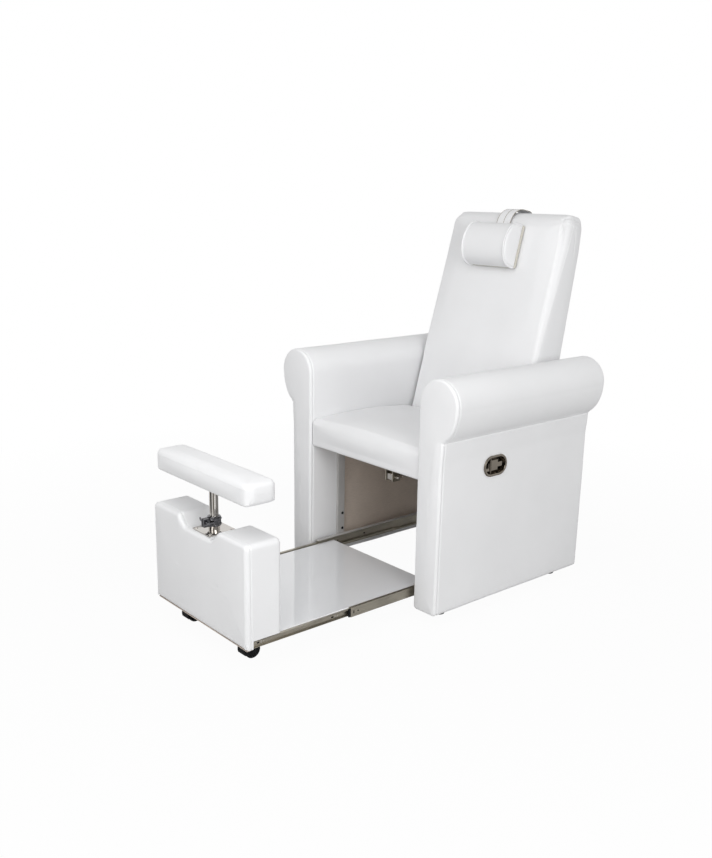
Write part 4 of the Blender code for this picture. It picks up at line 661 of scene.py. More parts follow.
def strips(rows, count):
    """The indices of a grid of closed rings, and the quads between neighbouring rings."""
    index = np.arange(rows * count).reshape(rows, count)
    after = np.roll(index, -1, 1)
    return index, np.stack([index[:-1], after[:-1], after[1:], index[1:]], -1).reshape(-1, 4)


def ring_faces(rings):
    """Quads between neighbouring closed rings, and a strip that closes each end."""
    index, quads = strips(*rings.shape[:2])
    near = [face[::-1] for face in closing(rings[0], index[0])]
    return quads.tolist() + near + closing(rings[-1], index[-1])


def linked(name, data):
    """A new object in the scene."""
    piece = bpy.data.objects.new(name, data)
    bpy.context.scene.collection.objects.link(piece)
    return piece


def shaded(mesh, sharp=40.0):
    """Shade a mesh smooth but for edges sharper than an angle in degrees."""
    mesh.shade_smooth()
    mesh.set_sharp_from_angle(angle=math.radians(sharp))


def made(name, points, faces, body, look, slot=None, sharp=40.0):
    """A finished object: its mesh turned outwards, smooth but for sharp edges, riding on its body."""
    points = np.asarray(points, float).reshape(-1, 3) + SHIFT
    size = np.array([len(face) for face in faces])
    tips = [points[[face[k] for face in faces]] for k in range(3)]
    volume = np.sum(tips[0] * np.cross(tips[1], tips[2]))
    fourth = points[[face[3] if len(face) > 3 else face[0] for face in faces]]
    volume += np.sum(np.where((size > 3)[:, None], tips[0], 0) * np.cross(tips[2], fourth))
    if volume < 0:
        faces = [face[::-1] for face in faces]
    mesh = bpy.data.meshes.new(name)
    mesh.from_pydata(points.tolist(), [], faces)
    mesh.validate()
    shaded(mesh, sharp)
    piece = linked(name, mesh)
    mesh.materials.append(FINISHES[look])
    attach(piece, body)
    return piece


def skin(name, rings, body, look, slot=None, sharp=40.0):
    """A closed skin through rings."""
    return made(name, rings, ring_faces(rings), body, look, slot, sharp)


def lathe(profile, sides):
    """Rings of a profile of (radius, height) spun about +Z: (r cos a, r sin a, h)."""
    a = np.linspace(0.0, 2 * math.pi, sides, endpoint=False)
    r, h = np.asarray(profile, float).T
    ring = np.stack([np.outer(r, np.cos(a)), np.outer(r, np.sin(a))], -1)
    return np.concatenate([ring, np.broadcast_to(h[:, None, None], (*ring.shape[:2], 1))], -1)


def torus_faces(rows, count):
    """Quads of a grid that closes both ways."""
    index = np.arange(rows * count).reshape(rows, count)
    after, under = np.roll(index, -1, 1), np.roll(index, -1, 0)
    return np.stack([index, after, np.roll(under, -1, 1), under], -1).reshape(-1, 4).tolist()


def looped(name, rings, body, look, slot=None, sharp=40.0):
    """A skin through rings that close both ways."""
    return made(name, rings, torus_faces(*rings.shape[:2]), body, look, slot, sharp)


def frames_along(path, closed):
    """Side and up vectors along a path, with as little twist as possible."""
    step = np.roll(path, -1, 0) - np.roll(path, 1, 0) if closed else np.gradient(path, axis=0)
    tangent = unit(step)
    flat = np.linalg.svd(path - path.mean(0), full_matrices=False)[2][2]
    side = np.cross(tangent, flat)
    side = side / np.maximum(np.linalg.norm(side, axis=1, keepdims=True), 1e-9)
    return side, np.cross(side, tangent)


def tube(name, path, radius, body, look, slot=None, closed=True, sides=10):
    """A round cord along a path: path + radius * (cos a * side + sin a * up)."""
    side, up = frames_along(path, closed)
    a = np.linspace(0.0, 2 * math.pi, sides, endpoint=False)
    ring = np.cos(a)[None, :, None] * side[:, None] + np.sin(a)[None, :, None] * up[:, None]
    rings = path[:, None] + radius * ring
    if closed:
        return looped(name, rings, body, look, slot)
    return skin(name, rings, body, look, slot)


def stitches(name, path, normals, sizes, body, sunk=0.15):
    """A row of stitches: at each place a spindle along the path, sunk a little along the normal.

    A spindle has radius r * sin(pi s)^0.5 at the share s of its length, six sides and four steps.
    """
    tangent = unit(np.gradient(path, axis=0))
    side = np.cross(tangent, normals)
    s = np.array([0.06, 0.3, 0.7, 0.94])
    a = np.radians(np.arange(0, 360, 60))
    wide = np.sin(math.pi * s) ** 0.5
    local = np.stack(
        [
            np.repeat((s - 0.5) * 0.72 * sizes.stitch_pitch, 6),
            (wide[:, None] * np.cos(a)).ravel() * sizes.stitch_radius,
            (wide[:, None] * np.sin(a)).ravel() * sizes.stitch_radius,
        ],
        1,
    )
    place = path - normals * sunk * sizes.stitch_radius
    grain = (
        place[:, None]
        + local[None, :, 0, None] * tangent[:, None]
        + local[None, :, 1, None] * side[:, None]
        + local[None, :, 2, None] * normals[:, None]
    )
    index, quads = strips(4, 6)
    ends = [index[0].tolist(), index[-1][::-1].tolist()]
    shift = 24 * np.arange(len(path))
    faces = (quads[None] + shift[:, None, None]).reshape(-1, 4).tolist()
    for end in ends:
        faces += (np.array(end)[None] + shift[:, None]).tolist()
    return made(name, grain, faces, body, "thread", "white_leather", 60.0)


def solid_box(node):
    """The two corners of a solid's box in the chair's own frame."""
    return [np.array(corner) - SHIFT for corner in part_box(node)]


def block(low, high):
    """A hidden box that a pocket is carved with."""
    low, high = np.asarray(low, float), np.asarray(high, float)
    pick = np.array([[(n >> k) & 1 for k in range(3)] for n in range(8)])
    points = np.where(pick, high, low) + SHIFT
    faces = [(0, 2, 3, 1), (4, 5, 7, 6), (0, 1, 5, 4), (2, 6, 7, 3), (0, 4, 6, 2), (1, 3, 7, 5)]
    return cutter(points, faces)


def prism(loop, place_low, place_high):
    """A hidden prism on a loop, between two placings of it in space."""
    count = len(loop)
    points = np.vstack([place_low(loop), place_high(loop)]) + SHIFT
    index = np.arange(count)
    after = np.roll(index, -1)
    sides = np.stack([index, after, after + count, index + count], 1).tolist()
    return cutter(points, sides + [index[::-1].tolist(), (index + count).tolist()])


def cutter(points, faces):
    """An object that only carves, with its faces turned outwards."""
    mesh = bpy.data.meshes.new("pocket")
    mesh.from_pydata(np.asarray(points).tolist(), [], faces)
    tips = np.asarray(points)
    fans = [(f[0], f[k], f[k + 1]) for f in faces for k in range(1, len(f) - 1)]
    if sum(tips[a] @ np.cross(tips[b], tips[c]) for a, b, c in fans) < 0:
        mesh.flip_normals()
    return linked("pocket", mesh)


def carved(piece, *tools):
    """Cut hidden blocks out of a piece, keep the result as its mesh and remove the blocks."""
    for tool in tools:
        cut = piece.modifiers.new("pocket", "BOOLEAN")
        cut.operation = "DIFFERENCE"
        cut.solver = "MANIFOLD"
        cut.object = tool
    bpy.context.view_layer.update()
    graph = bpy.context.evaluated_depsgraph_get()
    mesh = bpy.data.meshes.new_from_object(piece.evaluated_get(graph))
    piece.modifiers.clear()
    old = piece.data
    piece.data = mesh
    bpy.data.meshes.remove(old)
    mesh.name = piece.name
    shaded(mesh)
    for tool in tools:
        bpy.data.objects.remove(tool, do_unlink=True)
    return piece


def coordinates(mesh):
    """A mesh's points as an array."""
    points = np.empty(len(mesh.vertices) * 3)
    mesh.vertices.foreach_get("co", points)
    return points.reshape(-1, 3)


def filled(piece, held, reach, sizes, frames=20):
    """Fill a cover: cloth under inner pressure, with the held points fixed, applied to the mesh.

    No point moves further than its reach.
    """
    start = coordinates(piece.data)
    group = piece.vertex_groups.new(name="held")
    group.add(np.flatnonzero(held).tolist(), 1.0, "REPLACE")
    cloth = piece.modifiers.new("filling", "CLOTH")
    cover = cloth.settings
    cover.quality = 6
    cover.mass = 0.3
    cover.tension_stiffness = 30
    cover.compression_stiffness = 30
    cover.shear_stiffness = 12
    cover.bending_stiffness = 4
    cover.use_pressure = True
    cover.uniform_pressure_force = sizes.pressure
    cover.vertex_group_mass = "held"
    cover.effector_weights.gravity = 0.0
    cloth.collision_settings.use_collision = False
    cloth.point_cache.frame_start = 1
    cloth.point_cache.frame_end = frames
    scene = bpy.context.scene
    for step in range(1, frames + 1):
        scene.frame_set(step)
    graph = bpy.context.evaluated_depsgraph_get()
    swollen = coordinates(piece.evaluated_get(graph).data)
    piece.modifiers.remove(cloth)
    piece.vertex_groups.clear()
    scene.frame_set(1)
    move = swollen - start
    length = np.linalg.norm(move, axis=1)
    share = np.minimum(1.0, reach / np.maximum(length, 1e-9))
    piece.data.vertices.foreach_set("co", (start + move * share[:, None]).ravel())
    piece.data.update()
    return piece


def laid(cover, places, way):
    """Where rays from places along a way meet a cover, and the cover's normals there."""
    bpy.context.view_layer.update()
    tree = BVHTree.FromObject(cover, bpy.context.evaluated_depsgraph_get())
    found = [tree.ray_cast(Vector(place), Vector(way)) for place in places + SHIFT]
    rows = [(spot, normal) for spot, normal, *_ in found if spot]
    spots, normals = (np.array(part) for part in zip(*rows))
    return spots - SHIFT, normals


def subdivided(piece):
    """One live subdivision, the same in the view and the render."""
    finer = piece.modifiers.new("finer", "SUBSURF")
    finer.levels = 1
    finer.render_levels = 1
    return piece


def arm_loop():
    """Front view of the left arm, counter-clockwise: flat inner face, roll, crease, tapered slab."""
    centre = (INNER_X + ROLL_RADIUS, ROLL_Z)
    c = PANEL_CORNER
    heel = arc((INNER_X + c, PANEL_BOTTOM + c), c, 270, 180, 6)
    over = arc(centre, ROLL_RADIUS, 180, 0, 60)
    under = arc(centre, (ROLL_RADIUS, ROLL_DROP), -10, -66, 20)
    crease = [
        under[-1],
        (CREASE_X + 0.0015, CREASE_Z + 0.0030),
        (CREASE_X - 0.0035, CREASE_Z),
        (CREASE_X - 0.0022, CREASE_Z - 0.0040),
        (CREASE_X - 0.0030, CREASE_Z - 0.0120),
    ]
    foot = arc((PANEL_FOOT_X - c, PANEL_BOTTOM + c), c, 0, -90, 6)
    slab = [crease[-1], (PANEL_WAIST_X + 0.0025, WAIST_Z + 0.020), (PANEL_WAIST_X, WAIST_Z), foot[0]]
    loop = chained(
        (heel, 0.003),
        ([heel[-1], over[0]], 0.009),
        (over, 0.005),
        (np.vstack([over[-1:], under]), 0.004),
        (crease, 0.0015),
        (slab, 0.009),
        (foot, 0.003),
        ([foot[-1], heel[0]], 0.008),
    )
    return loop[::-1]


def stadium(centre, length, height, steps=20):
    """A loop with straight long sides and round ends."""
    radius = height / 2
    reach = length / 2 - radius
    right = arc((centre[0] + reach, centre[1]), radius, -90, 90, steps)
    left = arc((centre[0] - reach, centre[1]), radius, 90, 270, steps)
    return np.vstack([right, left])


def rounded(low, high, radius, spacing, fine=0.003):
    """A rectangle's loop with round corners, counter-clockwise, finer round the corners."""
    (u0, v0), (u1, v1), r = low, high, radius
    corners = [
        arc((u1 - r, v0 + r), r, -90, 0, 8),
        arc((u1 - r, v1 - r), r, 0, 90, 8),
        arc((u0 + r, v1 - r), r, 90, 180, 8),
        arc((u0 + r, v0 + r), r, 180, 270, 8),
    ]
    parts = []
    for this, after in zip(corners, corners[1:] + corners[:1]):
        parts += [(this, fine), ([this[-1], after[0]], spacing)]
    return chained(*parts)


def sewn_row(name, loop, place, way, sizes, body, seed=None, keep=None):
    """A row of stitches along a loop, set in space by a placing of (u, v) and lying on the ripple."""
    line = walked(loop, sizes.stitch_pitch, closed=True)
    normal = outward(line)
    path = place(line[:, 0], line[:, 1])
    facing = way(normal[:, 0], normal[:, 1])
    if seed is not None:
        path = path + facing * (sizes.ripple * wave(path, seed))[:, None]
    if keep is not None:
        chosen = keep(path)
        path, facing = path[chosen], facing[chosen]
    return stitches(name, path, facing, sizes, body)


class ChairArms(bpy.types.Operator):
    """Both upholstered arms with their seams, stitches and pockets"""

    bl_idname = "chair.arms"
    bl_label = "Arms"

    def execute(self, context):
        sizes = context.scene.chair_sizes
        loop = arm_loop()
        spine = ((0.2955, 0.095), (INNER_X + ROLL_RADIUS - 0.004, ROLL_Z))
        run = span(
            PANEL_EDGE, PANEL_DEPTH - PANEL_EDGE, 0.012, (ARM_SEAM,), sizes.seam_depth, sizes.seam_width
        )
        stations = ended(0.0, PANEL_DEPTH, PANEL_EDGE, PANEL_CROWN, run)
        u, v, t = stuffed(loop, spine, stations)
        for seed, (side, sign) in enumerate(SIDES, 1):
            rings = rippled(points_at(sign * u, t, v), sizes.ripple, seed)
            arm = skin(side + "_arm_cover", rings, "chair", "white_leather")
            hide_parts(side + "_arm")
            self.hollow(arm, side, sign)
            sewn_row(
                side + "_arm_stitches",
                loop,
                lambda a, b, sign=sign: points_at(sign * a, ARM_STITCHES, b),
                lambda a, b, sign=sign: points_at(sign * a, 0.0, b),
                sizes,
                "chair",
                seed,
                lambda path: path[:, 2] > PANEL_BOTTOM + 2 * PANEL_CORNER,
            )
        return {"FINISHED"}

    def hollow(self, arm, side, sign):
        """Carve the inner board's bed and the recess over it, and in the left arm the handle's pocket."""
        low, high = solid_box(side + "_inner_board")
        low, high = low - GAP, high + GAP
        upright = solid_box(side + "_front_upright")[0]
        mouth = np.sort([sign * (INNER_X - 0.010), sign * (abs(low[0] + high[0]) / 2)])
        tools = [
            block(low, high),
            block((mouth[0], upright[1] - GAP, low[2]), (mouth[1], high[1], high[2])),
        ]
        if sign > 0:
            trim = 2 * (HANDLE_RIM - CUP_WALL - 2 * GAP)
            loop = stadium((HANDLE_Y, HANDLE_Z), HANDLE_LENGTH - trim, HANDLE_HEIGHT - trim)
            floor = PANEL_WAIST_X - CUP_DEPTH
            tools.append(prism(loop, upright_at(floor), upright_at(PANEL_WAIST_X + 0.020)))
            well_low = (high[0] - 0.001, HANDLE_Y - WELL_HALF, WELL_LOW)
            tools.append(block(well_low, (floor + 0.001, HANDLE_Y + WELL_HALF, WELL_HIGH)))
        carved(arm, *tools)


def upright_at(x):
    """A placing of a (y, z) loop on the plane of an x."""
    return lambda loop: at_x(x, loop)


def seat_loop():
    """Side view of the seat, counter-clockwise: apron, round nose, crowned top, step for the board."""
    nose = SEAT_NOSE
    depth = SEAT_REAR - SEAT_FRONT
    under = SEAT_BOTTOM + SEAT_BOARD + GAP
    front = arc((SEAT_FRONT + nose, SEAT_TOP - nose), nose, 180, 90, 12)
    s = np.linspace(nose / depth, 1 - nose / depth, 30)
    rise = SEAT_CROWN * 4 * s * (1 - s) * eased(s / 0.2) - SEAT_FALL * eased((s - 0.6) / 0.35)
    top = np.stack([SEAT_FRONT + depth * s, SEAT_TOP + rise], 1)
    heel = arc((SEAT_REAR - nose, SEAT_TOP - SEAT_FALL - nose), nose, 90, 0, 10)
    hem = SEAT_HEM
    lip = [
        (SEAT_FRONT + SEAT_LIP, under),
        (SEAT_FRONT + SEAT_LIP, SEAT_BOTTOM),
        (SEAT_FRONT + hem, SEAT_BOTTOM),
    ]
    apron = np.vstack([arc((SEAT_FRONT + hem, SEAT_BOTTOM + hem), hem, 270, 180, 5), front[:1]])
    loop = chained(
        (apron, 0.005),
        (front, 0.003),
        (top, 0.010),
        (heel, 0.004),
        ([heel[-1], (SEAT_REAR, under)], 0.006),
        ([(SEAT_REAR, under), lip[0]], 0.012),
        (lip, 0.005),
    )
    return loop[::-1]


class ChairSeat(bpy.types.Operator):
    """Seat cushion: a filled cover with a square apron"""

    bl_idname = "chair.seat"
    bl_label = "Seat"

    def execute(self, context):
        sizes = context.scene.chair_sizes
        loop = seat_loop()
        middle = (SEAT_BOTTOM + SEAT_BOARD + SEAT_TOP) / 2
        spine = ((SEAT_FRONT + 0.045, middle), (SEAT_REAR - 0.045, middle))
        run = span(-SEAT_HALF + SEAT_EDGE, SEAT_HALF - SEAT_EDGE, 0.011)
        u, v, t = stuffed(loop, spine, ended(-SEAT_HALF, SEAT_HALF, SEAT_EDGE, 0.0, run, 7))
        crown = SEAT_SWELL * (1 - (t / SEAT_HALF) ** 2) * eased((v - middle) / 0.02)
        crown *= np.clip((u - SEAT_FRONT) / SEAT_NOSE, 0.0, 1.0)
        rings = points_at(t, u, v + crown)
        seat = skin("seat_cover", rings, "chair", "white_leather")
        held = (v < SEAT_HELD_BELOW) | (np.abs(t) > SEAT_HALF - 0.004) | (u > SEAT_REAR - 0.008)
        filled(seat, held.ravel(), SEAT_FILLING, sizes)
        subdivided(seat)
        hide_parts("seat_cushion")
        return {"FINISHED"}


BACK_UP = np.array([math.sin(BACK_TILT), math.cos(BACK_TILT)])
BACK_OUT = np.array([math.cos(BACK_TILT), -math.sin(BACK_TILT)])
BACK_FOOT = HINGE - BACK_OUT * BACK_FRONT
BACK_TOP = BACK_FOOT + BACK_UP * BACK_LENGTH + BACK_OUT * BACK_TIP
REAR_TILT = BACK_TILT - BACK_TAPER
REAR_UP = np.array([math.sin(REAR_TILT), math.cos(REAR_TILT)])
REAR_OUT = np.array([math.cos(REAR_TILT), -math.sin(REAR_TILT)])
REAR_FOOT = HINGE + REAR_OUT * BACK_ROOT
TOP_OUT = np.array([math.cos(math.radians(BACK_TOP_ANGLE)), math.sin(math.radians(BACK_TOP_ANGLE))])
BACK_CORNER = np.linalg.solve(
    [TOP_OUT, REAR_OUT],
    [BACK_TOP @ TOP_OUT + BACK_TIP - BACK_TIP_REAR, REAR_FOOT @ REAR_OUT - BACK_TIP_REAR],
)


def before_back(height, proud):
    """Places (y, z) at heights along the front face and distances in front of it."""
    return BACK_FOOT + np.multiply.outer(height, BACK_UP) - np.multiply.outer(proud, BACK_OUT)


def behind_back(height, proud):
    """Places (y, z) at heights along the rear face and distances behind it."""
    return REAR_FOOT + np.multiply.outer(height, REAR_UP) + np.multiply.outer(proud, REAR_OUT)


def over_back(proud):
    """Places (y, z) over the top from the front face to the rear face, proud(share) outside of it.

    An arc round the front corner and a tighter one round the rear corner, joined by the top line.
    """
    front = 180.0 - math.degrees(BACK_TILT)
    rear = -math.degrees(REAR_TILT)
    parts = []
    for centre, radius, start, end in (
        (BACK_TOP, BACK_TIP, front, BACK_TOP_ANGLE),
        (BACK_CORNER, BACK_TIP_REAR, BACK_TOP_ANGLE, rear),
    ):
        angle = np.linspace(start, end, 24)
        reach = radius + proud((front - angle) / (front - rear))
        parts.append(centre + reach[:, None] * spokes(angle))
    return np.vstack(parts)


def under_back():
    """Places (y, z) round the hinge from the front face to the rear face.

    The radius is root + (front - root) (1 + cos(pi s)) / 2, with s from 0 at the heel to 1 at the root.
    """
    angle = np.linspace(180.0 - math.degrees(BACK_TILT), 360.0 - math.degrees(REAR_TILT), 90)
    share = np.clip((angle - BACK_HEEL_ANGLE) / (BACK_ROOT_ANGLE - BACK_HEEL_ANGLE), 0.0, 1.0)
    reach = BACK_ROOT + (BACK_FRONT - BACK_ROOT) * (1 + np.cos(math.pi * share)) / 2
    return HINGE + reach[:, None] * spokes(angle)


def back_loop():
    """Side view of the backrest, counter-clockwise: a soft top, two flat faces and a round root."""
    tip = over_back(np.zeros_like)[::-1]
    root = under_back()
    return chained(
        (tip, 0.005), ([tip[-1], root[0]], 0.011), (root, 0.008), ([root[-1], tip[0]], 0.011)
    )


class ChairBack(bpy.types.Operator):
    """Backrest cushion, filled between its side seams, and the panel let into its rear"""

    bl_idname = "chair.back"
    bl_label = "Backrest"

    def execute(self, context):
        sizes = context.scene.chair_sizes
        self.cushion(sizes)
        self.panel(sizes)
        return {"FINISHED"}

    def cushion(self, sizes):
        """The cover starts slightly flat, swells in front and keeps its seams and rear."""
        loop = back_loop()
        inner = BACK_HALF - BACK_EDGE
        seams = (-BACK_SEAM_X, BACK_SEAM_X)
        run = span(-inner, inner, 0.012, seams, BACK_SEAM_DEPTH, BACK_SEAM_WIDTH)
        stations = ended(-BACK_HALF, BACK_HALF, BACK_EDGE, 0.0025, run, 8)
        u, v, t = stuffed(loop, (HINGE, (BACK_TOP + BACK_CORNER) / 2), stations)
        point = np.stack([u, v], -1)
        height = (point - BACK_FOOT) @ BACK_UP
        depth = (point - BACK_FOOT) @ BACK_OUT
        along = np.clip(height / BACK_LENGTH, 0.0, 1.0)
        thick = BACK_FRONT + BACK_ROOT - BACK_LENGTH * math.tan(BACK_TAPER) * along
        share = np.maximum(0.0, 1 - depth / thick)
        fade = np.clip(height / BACK_SWELL_FADE, 0.0, 1.0)
        swell = BACK_START_SWELL * (1 - (t / BACK_HALF) ** 2) * share**2 * fade
        behind = (point - REAR_FOOT) @ REAR_OUT
        up = (point - REAR_FOOT) @ REAR_UP
        let_in = eased((BACK_PANEL_HALF - 0.002 - np.abs(t)) / 0.004)
        let_in = let_in * eased((up + 0.002) / 0.006) * eased((BACK_PANEL_LENGTH - up) / 0.006)
        let_in = let_in * (behind > -0.001) * (BACK_PANEL + 2 * GAP)
        moved = point - swell[..., None] * BACK_OUT - let_in[..., None] * REAR_OUT
        full = eased((height - 0.19) / 0.05) * eased((BACK_LENGTH + 0.03 - height) / 0.10)
        side = t + BACK_BULGE * np.sign(t) * full * eased((np.abs(t) - 0.12) / 0.12)
        outer = np.abs(side).max() - np.abs(side)
        soft = BACK_EDGE + BACK_SOFT * eased(height / BACK_LENGTH)
        inward, rearward = softened(outer, np.maximum(depth, 0.0), soft, BACK_EDGE)
        shoulder, drop = softened(outer, BACK_LENGTH + BACK_TIP - height, BACK_SHOULDER, BACK_EDGE)
        side = side - np.sign(t) * (inward + shoulder)
        moved = moved + rearward[..., None] * BACK_OUT - drop[..., None] * BACK_UP
        rings = at_x(side, moved)
        back = skin("backrest_cover", rings, "backrest", "white_leather")
        held = (share < 0.5) | (np.abs(t) > BACK_SEAM_X - 0.003) | (height < 0.03)
        # Less filling from 0.27 m up, so that the lowered pillow keeps clear of the back
        reach = BACK_FILLING - BACK_FILLING_LESS * eased((height - 0.27) / 0.11)
        filled(back, held.ravel(), reach.ravel(), sizes)
        self.gathers(back, height, t, share)
        subdivided(back)
        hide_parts("backrest_cushion")
        self.welts(back)

    def welts(self, back):
        """A sewn ridge up each side: it starts at the front edge and runs rearwards to the top corner."""
        height = np.linspace(0.10, BACK_LENGTH + 0.042, 90)
        rearward = 0.006 + 0.036 * np.clip(height / BACK_LENGTH, 0.0, 1.0) ** 1.6
        line = before_back(height, 0.0) + rearward[:, None] * BACK_OUT
        for side, sign in SIDES:
            spots, normals = laid(back, at_x(sign, line), (-sign, 0.0, 0.0))
            path = spots - WELT_SUNK * normals
            tube(f"backrest_{side}_welt", path, WELT_RADIUS, "backrest", "white_leather", closed=False)

    def gathers(self, back, height, t, share):
        """Small creases that fan out from the top ends of the side seams: sin(9 a) on a bell."""
        up = height - (BACK_LENGTH + 0.016)
        across = np.abs(t) - BACK_SEAM_X
        distance = np.hypot(up, across)
        angle = np.arctan2(up, across)
        crease = 0.0011 * np.sin(9 * angle) * bell(distance - 0.022, 0.016) * (share > 0.2)
        normals = np.empty(len(back.data.vertices) * 3)
        back.data.vertices.foreach_get("normal", normals)
        points = coordinates(back.data)
        points += normals.reshape(-1, 3) * crease.ravel()[:, None]
        back.data.vertices.foreach_set("co", points.ravel())
        back.data.update()

    def panel(self, sizes):
        """A covered board with rounded edges and a row of stitches inside its border."""
        loop = rounded((-BACK_PANEL_HALF, 0.0), (BACK_PANEL_HALF, BACK_PANEL_LENGTH), 0.004, 0.012)
        spine = ((-0.1, BACK_PANEL_LENGTH / 2), (0.1, BACK_PANEL_LENGTH / 2))
        stations = faced((0.0, -1, 0.0025, 0.0, 6), (-BACK_PANEL, 1, 0.0025, 0.0, 4))
        u, v, t = stuffed(loop, spine, stations)
        panel = skin("backrest_rear_cover", at_x(u, behind_back(v, t)), "backrest", "white_leather")
        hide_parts("backrest_rear_panel")
        inner = loop - 0.014 * outward(loop)
        line = walked(inner, sizes.stitch_pitch, closed=True)
        path = at_x(line[:, 0], behind_back(line[:, 1], 0.0))
        facing = np.broadcast_to([0.0, *REAR_OUT], path.shape)
        clear = (np.abs(path[:, 0]) > 0.03) | (line[:, 1] > 0.12)
        stitches("backrest_rear_stitches", path[clear], facing[clear], sizes, "backrest")


def roll_loop(low, high, depth, base):
    """A roll's loop of (height, distance): flat behind, base + (depth - base) sin(a)^0.66 in front."""
    a = np.linspace(0.0, math.pi, 61)
    half = (high - low) / 2
    front = np.stack([low + half + half * np.cos(a), base + (depth - base) * np.sin(a) ** 0.66], 1)
    return chained((front, 0.005), ([front[-1], front[0]], 0.010))


class ChairHeadrest(bpy.types.Operator):
    """Headrest pillow with piped ends, its strap over the back and the counterweight behind"""

    bl_idname = "chair.headrest"
    bl_label = "Headrest"

    def execute(self, context):
        sizes = context.scene.chair_sizes
        pillow = (PILLOW_WIDTH, PILLOW_LOW, PILLOW_HIGH, PILLOW_DEPTH, PILLOW_BASE, PILLOW_EDGE)
        weight = (WEIGHT_WIDTH, WEIGHT_LOW, WEIGHT_HIGH, WEIGHT_DEPTH, WEIGHT_BASE, WEIGHT_EDGE)
        self.roll("headrest_pillow", *pillow, self.front, "pillow", sizes)
        self.roll("headrest_counterweight", *weight, self.rear, "counterweight", sizes)
        self.strap(sizes)
        return {"FINISHED"}

    def front(self, height, proud):
        """A place in front of the back, past the strap."""
        return before_back(height, PILLOW_LIFT + proud)

    def rear(self, height, proud):
        """A place behind the back, past the strap."""
        return behind_back(height, 2 * RUN_GAP + STRAP + proud)

    def roll(self, node, width, low, high, depth, base, edge, at, body, sizes):
        """A filled roll on a flat hemmed base, with piping round both ends."""
        half = width / 2
        loop = roll_loop(low, high, 0.955 * depth, base)
        run = span(-half + edge, half - edge, 0.008)
        middle = base + 0.30 * (depth - base)
        reach = (high - low) / 2 - 0.35 * (high - low)
        centre = (low + high) / 2
        spine = ((centre - reach, middle), (centre + reach, middle))
        u, v, t = stuffed(loop, spine, ended(-half, half, edge, 0.002, run, 7))
        roll = skin(node + "_cover", at_x(t, at(u, v)), body, "white_leather")
        held = (v < base + 0.004) | (np.abs(t) > half - edge - 0.002)
        filled(roll, held.ravel(), 0.05 * depth, sizes)
        subdivided(roll)
        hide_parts(node)
        self.base(node, half, low, high, base, at, body)
        for end, sign in (("left", 1), ("right", -1)):
            line = walked(loop + 0.0006 * outward(loop), 0.004, closed=True)
            path = at_x(sign * (half - edge * 0.7), at(line[:, 0], line[:, 1]))
            tube(f"{node}_{end}_piping", path, min(sizes.piping, 0.55 * edge), body, "white_leather")

    def base(self, node, half, low, high, thick, at, body):
        """The hemmed board behind a roll."""
        loop = rounded((-half + 0.001, low), (half - 0.001, high), 0.006, 0.010)
        spine = ((-0.5 * half, (low + high) / 2), (0.5 * half, (low + high) / 2))
        u, v, t = stuffed(loop, spine, faced((0.0, 1, 0.001, 0.0, 5), (thick, -1, 0.001, 0.0, 5)))
        skin(node + "_base", at_x(u, at(v, t)), body, "hem", "white_leather")

    def arch(self, share):
        """How far the strap stands off: its gap, the swell and 8 mm * sin(pi share^1.35)^0.9."""
        return RUN_GAP + BACK_SWELL * (1 - share) + 0.0080 * np.sin(math.pi * share**1.35) ** 0.9

    def strap(self, sizes):
        """Two hemmed bands side by side, arching over the top: a ridged section along the path."""
        proud = BACK_SWELL + RUN_GAP
        rise = before_back(np.linspace(STRAP_FRONT_END, BACK_LENGTH, 30), proud)
        over = over_back(self.arch)
        corner = (BACK_CORNER - REAR_FOOT) @ REAR_UP
        fall = behind_back(np.linspace(corner - 0.01, STRAP_REAR_END, 30), RUN_GAP)
        path = walked(np.vstack([rise, over, fall]), 0.005)
        step = np.gradient(path, axis=0)
        normal = unit(np.stack([-step[:, 1], step[:, 0]], 1))
        x = np.linspace(-STRAP_WIDTH / 2, STRAP_WIDTH / 2, 41)
        band = np.abs(np.abs(x) - STRAP_WIDTH / 4) / (STRAP_WIDTH / 4)
        top = 0.0012 + 0.0011 * np.sqrt(np.clip(1 - band**4, 0.0, 1.0)) - 0.0004 * bell(band - 0.6, 0.12)
        section = np.vstack([np.stack([x, top], 1), np.stack([x[::-1], np.zeros(41)], 1)])
        spot = path[:, None] + section[None, :, 1, None] * normal[:, None]
        rings = at_x(section[:, 0], spot)
        strap = skin("headrest_strap_bands", rings, "backrest", "white_leather", sharp=60.0)
        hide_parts("headrest_strap")
        lifted = path + 0.0012 * normal
        # Dark cords along both sides and the middle groove: the bands' edges, darkened further as painted
        # shade for these grooves.
        for turn, place in enumerate((-0.5, 0.0, 0.5), 1):
            edge = at_x(place * STRAP_WIDTH, lifted)
            name = f"headrest_strap_edge_{turn}"
            tube(name, edge, 0.0010, "backrest", "cut_edge", "white_leather", closed=False)
        rows = walked(path, sizes.stitch_pitch)
        step = np.gradient(rows, axis=0)
        facing = unit(points_at(0.0, -step[:, 1], step[:, 0]))
        for turn, place in enumerate((-0.4, -0.1, 0.1, 0.4)):
            level = np.interp(place * STRAP_WIDTH, x, top)
            line = at_x(place * STRAP_WIDTH, rows + level * facing[:, 1:])
            stitches(f"headrest_strap_stitches_{turn + 1}", line, facing, sizes, "backrest")


